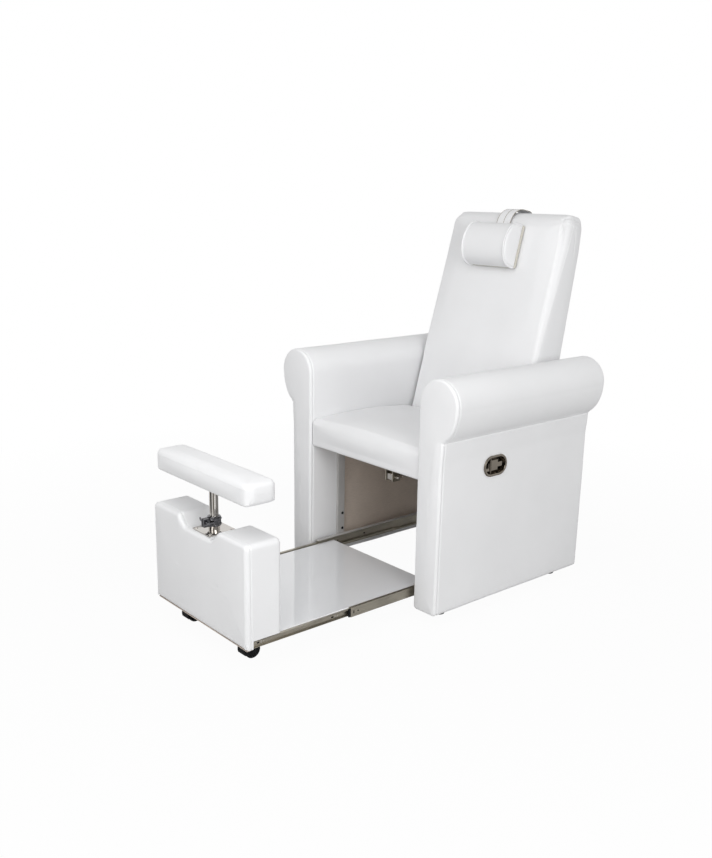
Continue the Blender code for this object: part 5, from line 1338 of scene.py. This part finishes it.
class ChairRearPanel(bpy.types.Operator):
    """Covered panel that closes the back under the backrest"""

    bl_idname = "chair.rear_panel"
    bl_label = "Rear panel"

    def execute(self, context):
        sizes = context.scene.chair_sizes
        low, high = solid_box("rear_panel")
        loop = rounded((low[0], low[2]), (high[0], high[2]), 0.004, 0.012)
        middle = (low[2] + high[2]) / 2
        stations = faced((high[1], -1, 0.004, 0.0008, 9), (low[1], 1, 0.004, 0.0, 5))
        u, v, t = stuffed(loop, ((-0.1, middle), (0.1, middle)), stations)
        panel = skin("rear_panel_cover", points_at(u, t, v), "chair", "white_leather")
        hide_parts("rear_panel")
        line = walked(loop - 0.016 * outward(loop), sizes.stitch_pitch, closed=True)
        path = points_at(line[:, 0], high[1] + 0.0001, line[:, 1])
        stitches("rear_panel_stitches", path, np.broadcast_to([0.0, 1.0, 0.0], path.shape), sizes, "chair")
        return {"FINISHED"}


def box_loop():
    """Front view of the foot box, counter-clockwise, with the notch in its top."""
    c = BOX_CORNER
    s = np.linspace(0.0, 1.0, 17)
    wall = np.stack(
        [
            NOTCH_TOP_HALF + (NOTCH_FLOOR_HALF - NOTCH_TOP_HALF) * s,
            BOX_TOP + (NOTCH_FLOOR - BOX_TOP) * (1 - np.cos(math.pi * s)) / 2,
        ],
        1,
    )
    shoulder = arc((BOX_HALF - c, BOX_TOP - c), c, 0, 90, 8)
    hem = arc((BOX_HALF - 0.004, BOX_BOTTOM + 0.004), 0.004, -90, 0, 4)
    mirror = np.array([-1.0, 1.0])
    return chained(
        (hem, 0.002),
        ([hem[-1], shoulder[0]], 0.008),
        (shoulder, 0.003),
        ([shoulder[-1], wall[0]], 0.007),
        (wall, 0.004),
        ([wall[-1], wall[-1] * mirror], 0.007),
        (wall[::-1] * mirror, 0.004),
        ([wall[0] * mirror, shoulder[-1] * mirror], 0.007),
        (shoulder[::-1] * mirror, 0.003),
        ([shoulder[0] * mirror, hem[-1] * mirror], 0.008),
        (hem[::-1] * mirror, 0.002),
        ([hem[0] * mirror, hem[0]], 0.008),
    )


class ChairFootBox(bpy.types.Operator):
    """Upholstered foot box with its notch, seams, stitches and bare lower edge"""

    bl_idname = "chair.foot_box"
    bl_label = "Foot box"

    def execute(self, context):
        sizes = context.scene.chair_sizes
        loop = box_loop()
        seam, row = BOX_FRONT + BOX_SEAM, BOX_FRONT + BOX_STITCHES
        front = end_face(BOX_FRONT, 1, BOX_EDGE, 0.003, 12)
        rear = end_face(BOX_REAR, -1, BOX_EDGE, 0.0, 9)[::-1]
        run = span(
            BOX_FRONT + BOX_EDGE, BOX_REAR - BOX_EDGE, 0.006, (seam,), sizes.seam_depth, sizes.seam_width
        )
        u, v, t = stuffed(loop, ((-0.15, 0.20), (0.15, 0.20)), np.vstack([front, run, rear]))
        rings = rippled(points_at(u, t, v), 0.7 * sizes.ripple, 5)
        rings = self.folded(rings)
        cover = skin("foot_box_cover", rings, "drawer", "white_leather")
        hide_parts("foot_box")
        past = BOX_HALF + 0.010
        lip = BOX_FRONT + BOX_LIP + GAP
        bore = arc((0.0, POST_Y), SOCKET_RADIUS, 0, 350, 35)
        carved(
            cover,
            block((-past, lip, BOX_BOTTOM - 0.010), (past, BOX_REAR + 0.010, DRAWER_TOP + GAP)),
            prism(bore, flat_at(SOCKET_BOTTOM - GAP), flat_at(BOX_TOP + 0.010)),
        )
        sewn_row(
            "foot_box_stitches",
            loop,
            lambda a, b: points_at(a, row, b),
            lambda a, b: points_at(a, 0.0, b),
            sizes,
            "drawer",
            None,
            lambda path: (path[:, 2] > DRAWER_TOP + 0.004) & (np.abs(path[:, 0]) > BOX_HALF - 0.03),
        )
        self.corner_seams(cover, sizes)
        self.bare_edge()
        return {"FINISHED"}

    def corner_seams(self, cover, sizes):
        """A fine ridge down each front corner, with a row of stitches beside it."""
        height = np.arange(BOX_BOTTOM + 0.006, BOX_TOP - 0.014, sizes.stitch_pitch)
        for side, sign in SIDES:
            for name, inset in (("seam", 0.009), ("front_stitches", 0.0135)):
                start = points_at(sign * (BOX_HALF - inset), BOX_FRONT - 0.1, height)
                spots, normals = laid(cover, start, (0.0, 1.0, 0.0))
                if name == "seam":
                    path = spots - 0.0004 * normals
                    tube(f"foot_box_{side}_seam", path, 0.0010, "drawer", "white_leather", closed=False)
                else:
                    stitches(f"foot_box_{side}_{name}", spots, normals, sizes, "drawer")

    def folded(self, rings):
        """Where the cover turns into the notch on the right it dips and folds: two bells and a ridge."""
        x, y, z = rings[..., 0], rings[..., 1] - BOX_FRONT, rings[..., 2]
        high = eased((z - 0.32) / 0.015)
        dip = bell(np.hypot((x + 0.080) / 0.016, (y - 0.030) / 0.022), 1.0)
        ridge = bell(np.hypot((x + 0.099) / 0.008, (y - 0.022) / 0.024), 1.0)
        sag = bell(np.hypot((x - 0.085) / 0.020, (y - 0.050) / 0.040), 1.0)
        push = high * (0.0022 * ridge - 0.0048 * dip - 0.0015 * sag)
        return rings + grid_normals(rings) * push[..., None]

    def bare_edge(self):
        """The raw edge of the board that shows as a thin brown line under the front of the box."""
        half = BOX_HALF - 0.006
        loop = rounded((-half, BOX_FRONT + 0.004), (half, BOX_FRONT + BOX_LIP), 0.003, 0.02)
        stations = faced((BOX_BOTTOM - 0.0022, 1, 0.0006, 0.0, 4), (BOX_BOTTOM - GAP, -1, 0.0006, 0.0, 4))
        middle = BOX_FRONT + 0.0125
        u, v, t = stuffed(loop, ((-0.2, middle), (0.2, middle)), stations)
        skin("foot_box_bare_edge", points_at(u, v, t), "drawer", "raw_edge", "plywood")


def flat_at(z):
    """A placing of an (x, y) loop on the level of a z."""
    return lambda loop: points_at(loop[:, 0], loop[:, 1], z)


def pad_loop(low, high):
    """End view of the foot pad, counter-clockwise: soft upper corners and tighter lower ones."""
    parts = []
    for corner, start in (((0, 0), 180), ((1, 0), 270), ((1, 1), 0), ((0, 1), 90)):
        radius = PAD_CORNER if corner[1] else PAD_LOWER_CORNER
        centre = [(low, high)[end][k] + (radius, -radius)[end] for k, end in enumerate(corner)]
        parts.append(arc(centre, radius, start, start + 90, 10))
    sides = [[parts[k][-1], parts[(k + 1) % 4][0]] for k in range(4)]
    return chained(*(row for k in range(4) for row in ((parts[k], 0.003), (sides[k], 0.006))))


class ChairFootPad(bpy.types.Operator):
    """Padded foot rest on its post"""

    bl_idname = "chair.foot_pad"
    bl_label = "Foot pad"

    def execute(self, context):
        sizes = context.scene.chair_sizes
        thin = 0.002
        low = (POST_Y - PAD_DEPTH / 2 + thin, PAD_BOTTOM)
        high = (POST_Y + PAD_DEPTH / 2 - thin, PAD_BOTTOM + PAD_THICK - thin)
        loop = pad_loop(low, high)
        half = PAD_LENGTH / 2 - thin
        middle = PAD_BOTTOM + PAD_THICK / 2
        run = span(-half + PAD_CORNER, half - PAD_CORNER, 0.009)
        spine = ((POST_Y - 0.02, middle), (POST_Y + 0.02, middle))
        u, v, t = stuffed(loop, spine, ended(-half, half, PAD_CORNER, 0.001, run, 8, 9))
        crown = 0.003 * (1 - (t / half) ** 2) * eased((v - middle) / 0.015)
        off = u - POST_Y
        beside = PAD_DEPTH / 2 - thin - np.abs(off)
        along, across = softened(half - np.abs(t), beside, PAD_SOFT, PAD_CORNER)
        t = t - np.sign(t) * along
        u = u - np.sign(off) * across
        pad = skin("foot_pad_cover", points_at(t, u, v + crown), "foot_rest", "white_leather")
        held = (v < PAD_BOTTOM + 0.0045) | (np.abs(t) > half - 0.005)
        filled(pad, held.ravel(), PAD_FILLING, sizes)
        subdivided(pad)
        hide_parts("foot_pad")
        self.seams(pad)
        return {"FINISHED"}

    def seams(self, pad):
        """A fine sewn ridge along the front and the rear, under the rounded upper edge."""
        x = np.linspace(-0.94, 0.94, 70) * PAD_LENGTH / 2
        high = PAD_BOTTOM + PAD_THICK - PAD_SEAM_DROP
        for name, way in (("front", 1.0), ("rear", -1.0)):
            start = points_at(x, POST_Y - way * PAD_DEPTH, high)
            spots, normals = laid(pad, start, (0.0, way, 0.0))
            path = spots - 0.0005 * normals
            tube(f"foot_pad_{name}_seam", path, 0.0011, "foot_rest", "white_leather", closed=False)


def both(*names):
    """Each name with left and with right before it."""
    return [f"{side}_{name}" for name in names for side, _ in SIDES]


SLIDES = both("outer_slide", "middle_slide", "inner_slide")
BRACKETS = both("hinge_bracket", "hinge_plate", "caster_plate")
UPRIGHTS = both("front_upright", "rear_upright", "runner_angle")
MOULDED = both("front_foot", "rear_foot", "caster_hood")

# Finish and edge rounding of each solid that stays
KEPT = (
    ("white_laminate", 0.0008, ["drawer_board"]),
    ("plywood", 0.0008, [*both("inner_board"), "seat_board"]),
    ("painted_steel", 0.0006, [*UPRIGHTS, "front_cross_tube", "rear_cross_tube"]),
    ("zinc_steel", 0.0004, [*SLIDES, *BRACKETS, "gas_spring_bracket", "backrest_lever"]),
    ("chrome", 0.0005, ["footrest_socket", "gas_spring_rod", "gas_spring_pin"]),
    ("dark_chrome", 0.0005, ["clamp_collar", "clamp_handle"]),
    ("nickel", 0.0005, ["release_paddle", "paddle_pin"]),
    ("black_steel", 0.0006, ["gas_spring_cylinder", "pad_plate"]),
    ("black_plastic", 0.0006, [*MOULDED, "release_cable"]),
)


class ChairFrame(bpy.types.Operator):
    """Finishes and rounded edges of the solids that stay: boards, tubes, slides, hinges and spring"""

    bl_idname = "chair.frame"
    bl_label = "Frame and mechanism"

    def execute(self, context):
        for look, edge, names in KEPT:
            for name in names:
                self.dress(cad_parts[name], look, edge)
        return {"FINISHED"}

    def dress(self, solid, look, edge):
        """Weld the loose triangles, round the edges and shade the result smoothly."""
        solid.data.materials.clear()
        solid.data.materials.append(FINISHES[look])
        solid.data.polygons.foreach_set("use_smooth", [True] * len(solid.data.polygons))
        weld = solid.modifiers.new("weld", "WELD")
        weld.merge_threshold = 0.00002
        rounding = solid.modifiers.new("edges", "BEVEL")
        rounding.width = edge
        rounding.segments = 2
        rounding.limit_method = "ANGLE"
        rounding.angle_limit = math.radians(38)
        rounding.use_clamp_overlap = True
        shading = solid.modifiers.new("shading", "WEIGHTED_NORMAL")
        shading.keep_sharp = True


def on_x(rings, centre):
    """Spun rings laid on the X axis through a centre."""
    return at_x(rings[..., 2], rings) + np.asarray(centre)


def on_z(rings, centre):
    """Spun rings set upright on a centre."""
    return rings + np.asarray(centre)


class ChairHandle(bpy.types.Operator):
    """Plated cup of the recline release, let into the left arm"""

    bl_idname = "chair.handle"
    bl_label = "Release handle"

    def execute(self, context):
        loop = stadium((HANDLE_Y, HANDLE_Z), HANDLE_LENGTH, HANDLE_HEIGHT, 24)
        reach = (HANDLE_LENGTH - HANDLE_HEIGHT) / 2
        spine = ((HANDLE_Y - reach, HANDLE_Z), (HANDLE_Y + reach, HANDLE_Z))
        seat = PANEL_WAIST_X + GAP
        face = seat + HANDLE_FLANGE
        floor = seat - CUP_DEPTH
        outer = HANDLE_RIM - CUP_WALL
        section = np.array(
            [
                (floor, outer + 0.002, 0.05),
                (floor, outer + 0.002, 1.0),
                (floor + 0.002, outer, 1.0),
                (seat, outer, 1.0),
                (seat, 0.0006, 1.0),
                (seat + 0.0008, 0.0, 1.0),
                (face - 0.0022, 0.0, 1.0),
                (face - 0.0010, 0.0004, 1.0),
                (face - 0.0003, 0.0012, 1.0),
                (face, 0.0024, 1.0),
                (face, 0.0050, 1.0),
                (face - 0.0004, 0.0062, 1.0),
                (face - 0.0014, HANDLE_RIM, 1.0),
                (floor + CUP_WALL + 0.003, HANDLE_RIM + 0.0006, 1.0),
                (floor + CUP_WALL + 0.001, HANDLE_RIM + 0.0014, 1.0),
                (floor + CUP_WALL, HANDLE_RIM + 0.0034, 1.0),
                (floor + CUP_WALL, HANDLE_RIM + 0.0034, 0.05),
            ]
        )
        u, v, t = stuffed(loop, spine, section)
        cup = skin("handle_cup_shell", points_at(t, u, v), "chair", "nickel", "chrome", 35.0)
        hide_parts("handle_cup")
        return {"FINISHED"}


class ChairPost(bpy.types.Operator):
    """Chrome post, and the rings, washer and bent pin of its clamp"""

    bl_idname = "chair.post"
    bl_label = "Foot rest post"

    def execute(self, context):
        low, high = solid_box("footrest_post")
        inner = POST_RADIUS - 0.002
        profile = [
            (inner, low[2]),
            (POST_RADIUS - 0.0008, low[2]),
            (POST_RADIUS, low[2] + 0.0008),
            (POST_RADIUS, high[2] - 0.0006),
            (POST_RADIUS - 0.0006, high[2]),
            (inner, high[2]),
        ]
        rings = on_z(lathe(profile, 64), (0.0, POST_Y, 0.0))
        post = looped("footrest_post_tube", rings, "lift", "chrome")
        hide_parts("footrest_post")
        ring = arc((0.0, POST_Y), COLLAR_RADIUS + 0.0004, -58, 238, 60)
        for turn, height in enumerate(CLAMP_RINGS, 1):
            path = points_at(ring[:, 0], ring[:, 1], COLLAR_Z + height)
            name = f"clamp_ring_{turn}"
            tube(name, path, CLAMP_RING_RADIUS, "drawer", "dark_chrome", "chrome", closed=False, sides=12)
        top = COLLAR_Z + COLLAR_HEIGHT
        collar = [
            (POST_RADIUS + 0.0005, top + 0.0003),
            (0.0180, top + 0.0003),
            (0.0188, top + 0.0012),
            (0.0180, top + 0.0026),
            (0.0160, top + 0.0032),
            (POST_RADIUS + 0.0005, top + 0.0032),
        ]
        rings = on_z(lathe(collar, 48), (0.0, POST_Y, 0.0))
        looped("clamp_washer", rings, "drawer", "dark_chrome", "chrome")
        self.pin()
        return {"FINISHED"}

    def pin(self):
        """The bent end of the clamp screw: a rod on a quarter circle."""
        y = POST_Y - CLAMP_SCREW_Y
        z = COLLAR_Z + COLLAR_HEIGHT / 2
        bend = arc((-0.0195, z + 0.0065), 0.0065, 270, 165, 14)
        line = np.vstack([[(-0.0131, z)], bend])
        path = points_at(line[:, 0], y, line[:, 1])
        tube("clamp_bent_pin", path, 0.0021, "clamp", "dark_chrome", "chrome", closed=False, sides=12)


class ChairCasters(bpy.types.Operator):
    """Twin wheels of both casters"""

    bl_idname = "chair.casters"
    bl_label = "Caster wheels"

    def execute(self, context):
        for side, _ in SIDES:
            for end in ("inner", "outer"):
                node = f"{side}_{end}_wheel"
                low, high = solid_box(node)
                radius = (high[2] - low[2]) / 2
                half = (high[0] - low[0]) / 2
                out = [
                    (0.0036, 0.86),
                    (0.0075, 0.86),
                    (0.0085, 1.0),
                    (0.0095, 0.86),
                    (0.0105, 0.66),
                    (0.0175, 0.60),
                    (0.0185, 0.80),
                    (0.0195, 0.97),
                    (0.0212, 1.0),
                    (0.0228, 0.90),
                    (radius, 0.62),
                    (radius, 0.18),
                    (radius - 0.0006, 0.08),
                ]
                profile = [(r, half * share) for r, share in out]
                profile += [(r, -h) for r, h in profile[::-1]]
                rings = on_x(lathe(profile, 48), (low + high) / 2)
                wheel = looped(node + "_tyre", rings, f"{side}_wheel_{end}", "black_rubber", sharp=50.0)
                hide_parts(node)
        return {"FINISHED"}


class ChairSlideParts(bpy.types.Operator):
    """Plastic stops and tabs on the telescopic slides, and black discs of painted shade for their openings
    """

    bl_idname = "chair.slide_parts"
    bl_label = "Slide details"

    def execute(self, context):
        for side, sign in SIDES:
            middle = solid_box(f"{side}_middle_slide")
            inner = solid_box(f"{side}_inner_slide")
            outer_x = middle[1][0] if sign > 0 else middle[0][0]
            lip_x = inner[1][0] if sign > 0 else inner[0][0]
            web_x = (inner[0][0] if sign > 0 else inner[1][0]) + sign * SLIDE_WALL
            front = middle[0][1]
            level = (middle[0][2] + middle[1][2]) / 2
            self.stop(side, sign, front, level, lip_x, outer_x)
            # Openings in the slides get black discs: painted shade, where one would see into the dark
            # behind the steel.
            hole_shade = "black_plastic"
            slide = f"{side}_slide"
            rows = [
                ("slot", front + 0.011, 0.0035, 0.010, outer_x, sign, slide, hole_shade),
                ("rivet", front + 0.027, 0.0050, 0.005, outer_x, sign, slide, hole_shade),
            ]
            far_x = outer_x - sign * SLIDE_WALL
            for turn, sizes in enumerate(FAR_HOLES, 1):
                rows.append((f"far_hole_{turn}", *sizes, far_x, -sign, slide, hole_shade))
            for turn, place in enumerate((front - 0.050, inner[0][1] + 0.028), 1):
                rows += [
                    (f"keyhole_{turn}", place - 0.010, 0.0090, 0.0045, web_x, sign, "drawer", hole_shade),
                    (f"tab_{turn}", place, 0.0030, 0.0090, web_x, sign, "drawer", "chrome"),
                    (f"dot_{turn}", place + 0.008, 0.0034, 0.0034, web_x, sign, "drawer", "chrome"),
                ]
            for name, y, length, height, x, way, body, look in rows:
                self.mark(f"{side}_{name}", (y, level), length, height, x, way, body, look)
        return {"FINISHED"}

    def stop(self, side, sign, front, level, lip_x, outer_x):
        """The plastic end stop: a rounded block in front of the middle member's end."""
        low, high = (front - 0.0085, level - 0.0130), (front - 0.0002, level + 0.0130)
        loop = rounded(low, high, 0.0030, 0.004, 0.001)
        near = lip_x + sign * 0.0004
        spine = ((front - 0.0043, level - 0.008), (front - 0.0043, level + 0.008))
        stations = faced((near, sign, 0.0006, 0.0, 4, 4), (outer_x, -sign, 0.0006, 0.0, 4, 4))
        u, v, t = stuffed(loop, spine, stations)
        skin(side + "_slide_stop", points_at(t, u, v), f"{side}_slide", "black_plastic")

    def mark(self, name, centre, length, height, x, way, body, look):
        """A low rounded button on an upright face: a tab, a rivet, or a black disc of painted shade that
        stands for an opening.
        """
        long = max(length, height)
        short = min(length, height)
        loop = stadium((0.0, 0.0), long, short - 1e-6, 8)
        if height > length:
            loop = loop[:, ::-1] * np.array([-1.0, 1.0])
        loop = loop[np.linalg.norm(loop - np.roll(loop, 1, 0), axis=1) > 1e-7] + np.asarray(centre)
        thin = 0.00025
        foot = [(0.0, 0.0, 0.1), (0.0, 0.0, 1.0), (thin * 0.7, 0.0, 1.0)]
        stations = np.array([*foot, (thin, 0.0003, 0.9), (thin, 0.0003, 0.1)])
        stations[:, 0] = x + way * stations[:, 0]
        spine = (np.asarray(centre) - (1e-5, 0.0), np.asarray(centre) + (1e-5, 0.0))
        u, v, t = stuffed(loop, spine, stations)
        skin(name, points_at(t, u, v), body, look)


class ChairFasteners(bpy.types.Operator):
    """Button screws on the uprights and the socket plate, and nuts on the gas spring's pin"""

    bl_idname = "chair.fasteners"
    bl_label = "Fasteners"

    def execute(self, context):
        for side, sign in SIDES:
            for end in ("front", "rear"):
                low, high = solid_box(f"{side}_{end}_upright")
                x = low[0] if sign > 0 else high[0]
                y = (low[1] + high[1]) / 2 + 0.005
                for turn, z in enumerate(UPRIGHT_SCREWS, 1):
                    self.screw(f"{side}_{end}_screw_{turn}", (x, y, z), -sign, "chair", "black_steel")
        low, high = solid_box("gas_spring_pin")
        middle = (low + high) / 2
        for side, sign in SIDES:
            x = high[0] if sign > 0 else low[0]
            self.nut(side + "_spring_nut", (x, middle[1], middle[2]), sign)
        top = NOTCH_FLOOR + GAP + 0.003
        for turn, (dx, dy) in enumerate(((-1, -1), (-1, 1), (1, -1), (1, 1)), 1):
            place = (dx * PLATE_SCREWS, POST_Y + dy * PLATE_SCREWS, top)
            rings = lathe(self.head(*PLATE_SCREW_HEAD), 24)
            skin(f"plate_screw_{turn}", on_z(rings, place), "drawer", "chrome")
        return {"FINISHED"}

    def head(self, radius, height):
        """Half the section of a button head, from under its rim to the floor of its round socket."""
        a = np.linspace(0.0, math.pi / 2, 7)
        dome = [(0.45 + 0.55 * math.cos(b), 0.25 + 0.75 * math.sin(b)) for b in a]
        socket = [(0.40, 0.85), (0.38, 0.35), (0.05, 0.32)]
        top = [(r * radius, h * height) for r, h in ((1.0, 0.2), *dome, *socket)]
        return [(0.1 * radius, -0.0002), (radius, -0.0002), *top]

    def screw(self, name, place, way, body, look):
        """A button head on an upright face."""
        rings = lathe(self.head(*UPRIGHT_SCREW_HEAD), 24)
        rings[..., 2] *= way
        skin(name, on_x(rings, place), body, look)

    def nut(self, name, place, way):
        """A domed hexagon nut: six flats, a chamfer and a cap."""
        a = np.linspace(0.0, math.pi / 2, 6)
        cap = [(0.0046 * math.cos(b), 0.0052 + 0.0040 * math.sin(b)) for b in a[:-1]]
        flats = [(0.001, 0.0002), (0.0066, 0.0002), (0.0066, 0.0046), (0.0058, 0.0052)]
        rings = lathe([*flats, *cap, (0.0004, 0.0092)], 48)
        angle = np.arctan2(rings[..., 1], rings[..., 0])
        flat = math.cos(math.pi / 6) / np.cos((angle + math.pi / 6) % (math.pi / 3) - math.pi / 6)
        hexed = np.zeros(len(rings))
        hexed[1:3] = 1.0
        rings[..., :2] *= (1 + (flat - 1) * hexed[:, None])[..., None]
        rings[..., 2] *= way
        skin(name, on_x(rings, place), "chair", "chrome", sharp=25.0)


class ChairStage(bpy.types.Operator):
    """Pale floor, soft studio light and the camera at the photograph's view"""

    bl_idname = "chair.stage"
    bl_label = "Stage"

    def execute(self, context):
        sizes = context.scene.chair_sizes
        self.floor(sizes.floor)
        self.world(context.scene)
        self.lights()
        self.cards()
        self.camera(context.scene)
        context.scene.view_settings.view_transform = "Standard"
        return {"FINISHED"}

    def sheet(self, name, centre, across, up, look):
        """A flat stage piece from its centre and two half sides."""
        centre, across, up = (np.asarray(part, float) for part in (centre, across, up))
        corners = [centre - across - up, centre + across - up, centre + across + up, centre - across + up]
        mesh = bpy.data.meshes.new(name)
        mesh.from_pydata([corner.tolist() for corner in corners], [], [(0, 1, 2, 3)])
        mesh.materials.append(look)
        piece = linked(name, mesh)
        return piece

    def floor(self, size):
        """White floor that keeps a soft shadow: mostly its own brightness on seen rays, else diffuse."""
        paint = Finish("studio_floor")
        diffuse = paint.node("ShaderNodeBsdfDiffuse", None, {"Color": (0.60, 0.60, 0.60, 1.0)})
        glow = paint.node("ShaderNodeEmission", None, {"Color": (1.0, 1.0, 1.0, 1.0), "Strength": 1.0})
        away = paint.node("ShaderNodeVectorMath", {"operation": "LENGTH"}, {0: paint.place}, "Value")
        camera = paint.node("ShaderNodeLightPath", None, None, "Is Camera Ray")
        near = camera * 0.88 + 0.08
        share = paint.seen() * (near + (1.0 - near) * paint.limited(away, 0.9, 2.4))
        look = paint.closed(paint.node("ShaderNodeMixShader", None, {0: share, 1: diffuse, 2: glow}))
        self.sheet("studio_floor", (0.0, 0.0, -0.0006), (size / 2, 0.0, 0.0), (0.0, size / 2, 0.0), look)

    def world(self, scene):
        """Even white surroundings: full strength where seen, less as light."""
        world = bpy.data.worlds.new("studio")
        scene.world = world
        paint = Finish("studio", world)
        ambient = 0.45
        strength = paint.seen() * (1.0 - ambient) + ambient
        inputs = {"Color": (1.0, 1.0, 1.0, 1.0), "Strength": strength}
        paint.closed(paint.node("ShaderNodeBackground", None, inputs), "ShaderNodeOutputWorld")

    def lights(self):
        """A broad key from above the foot end, a side light from the sitter's left and a weak fill."""
        lamps = (
            ("key", (0.4, -1.3, 1.95), (0.0, -0.3, 0.3), 1.4, 14.5),
            ("side", (3.1, -0.9, 1.5), (0.0, 0.0, 0.5), 1.8, 46.0),
            ("fill", (0.9, -3.0, 1.1), (0.0, 0.0, 0.4), 2.0, 18.0),
        )
        for name, place, aim, size, power in lamps:
            lamp = bpy.data.lights.new(name, "AREA")
            lamp.shape = "SQUARE"
            lamp.size = size
            lamp.energy = power
            holder = linked(name, lamp)
            holder.location = place
            holder.rotation_euler = (Vector(aim) - Vector(place)).to_track_quat("-Z", "Y").to_euler()

    def cards(self):
        """Dark glowing cards that only mirrors see: painted reflections that put dark streaks in the plated
        metal.
        """
        rows = (
            ("card_front", 0.03, (-0.37, -1.63), (0.42, -0.15)),
            ("card_view", 0.20, (0.85, -1.30), (0.19, 0.23)),
            ("card_side", 0.03, (0.80, 0.10), (-0.10, 0.12)),
        )
        for name, shade, (x, y), across in rows:
            # Each card glows in a dark tint and is hidden from all but mirrored rays: a painted reflection.
            paint = Finish(name)
            tint = (shade, 0.92 * shade, 0.84 * shade, 1.0)
            look = paint.closed(paint.node("ShaderNodeEmission", None, {"Color": tint, "Strength": 1.0}))
            card = self.sheet(name, (x, y, 0.6), (*across, 0.0), (0.0, 0.0, 0.6), look)
            card.visible_camera = False
            card.visible_diffuse = False
            card.visible_shadow = False
            card.visible_transmission = False

    def camera(self, scene):
        """A camera on the photograph's place, aim, roll and lens."""
        lens = bpy.data.cameras.new("view")
        lens.lens = VIEW_LENS
        lens.sensor_width = 36.0
        lens.shift_x, lens.shift_y = VIEW_SHIFT
        holder = linked("view", lens)
        holder.location = VIEW_PLACE
        aim = Vector(VIEW_AIM) - holder.location
        turn = aim.to_track_quat("-Z", "Y") @ Quaternion((0.0, 0.0, 1.0), VIEW_ROLL)
        holder.rotation_euler = turn.to_euler()
        scene.camera = holder


PIECES = (
    ChairArms,
    ChairSeat,
    ChairBack,
    ChairHeadrest,
    ChairRearPanel,
    ChairFootBox,
    ChairFootPad,
    ChairFrame,
    ChairHandle,
    ChairPost,
    ChairCasters,
    ChairSlideParts,
    ChairFasteners,
    ChairStage,
)


class ChairPanel(bpy.types.Panel):
    """Sizes, colours and pieces of the chair"""

    bl_idname = "VIEW3D_PT_chair"
    bl_label = "Podiatry chair"
    bl_space_type = "VIEW_3D"
    bl_region_type = "UI"
    bl_category = "Chair"

    def draw(self, context):
        for group in (context.scene.chair_sizes, context.scene.chair_colours):
            for name in group.__annotations__:
                self.layout.prop(group, name)
        for piece in PIECES:
            self.layout.operator(piece.bl_idname)


CLASSES = (ChairSizes, ChairColours, *PIECES, ChairPanel)


def register():
    """Add the classes and the scene's settings."""
    for each in CLASSES:
        bpy.utils.register_class(each)
    bpy.types.Scene.chair_sizes = PointerProperty(type=ChairSizes)
    bpy.types.Scene.chair_colours = PointerProperty(type=ChairColours)


def unregister():
    """Take the settings and the classes away again."""
    del bpy.types.Scene.chair_colours
    del bpy.types.Scene.chair_sizes
    for each in reversed(CLASSES):
        bpy.utils.unregister_class(each)


def main():
    """Make the finishes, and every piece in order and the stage."""
    register()
    make_finishes(bpy.context.scene.chair_colours)
    for piece in PIECES:
        group, name = piece.bl_idname.split(".")
        getattr(getattr(bpy.ops, group), name)()


if __name__ == "__main__":
    main()
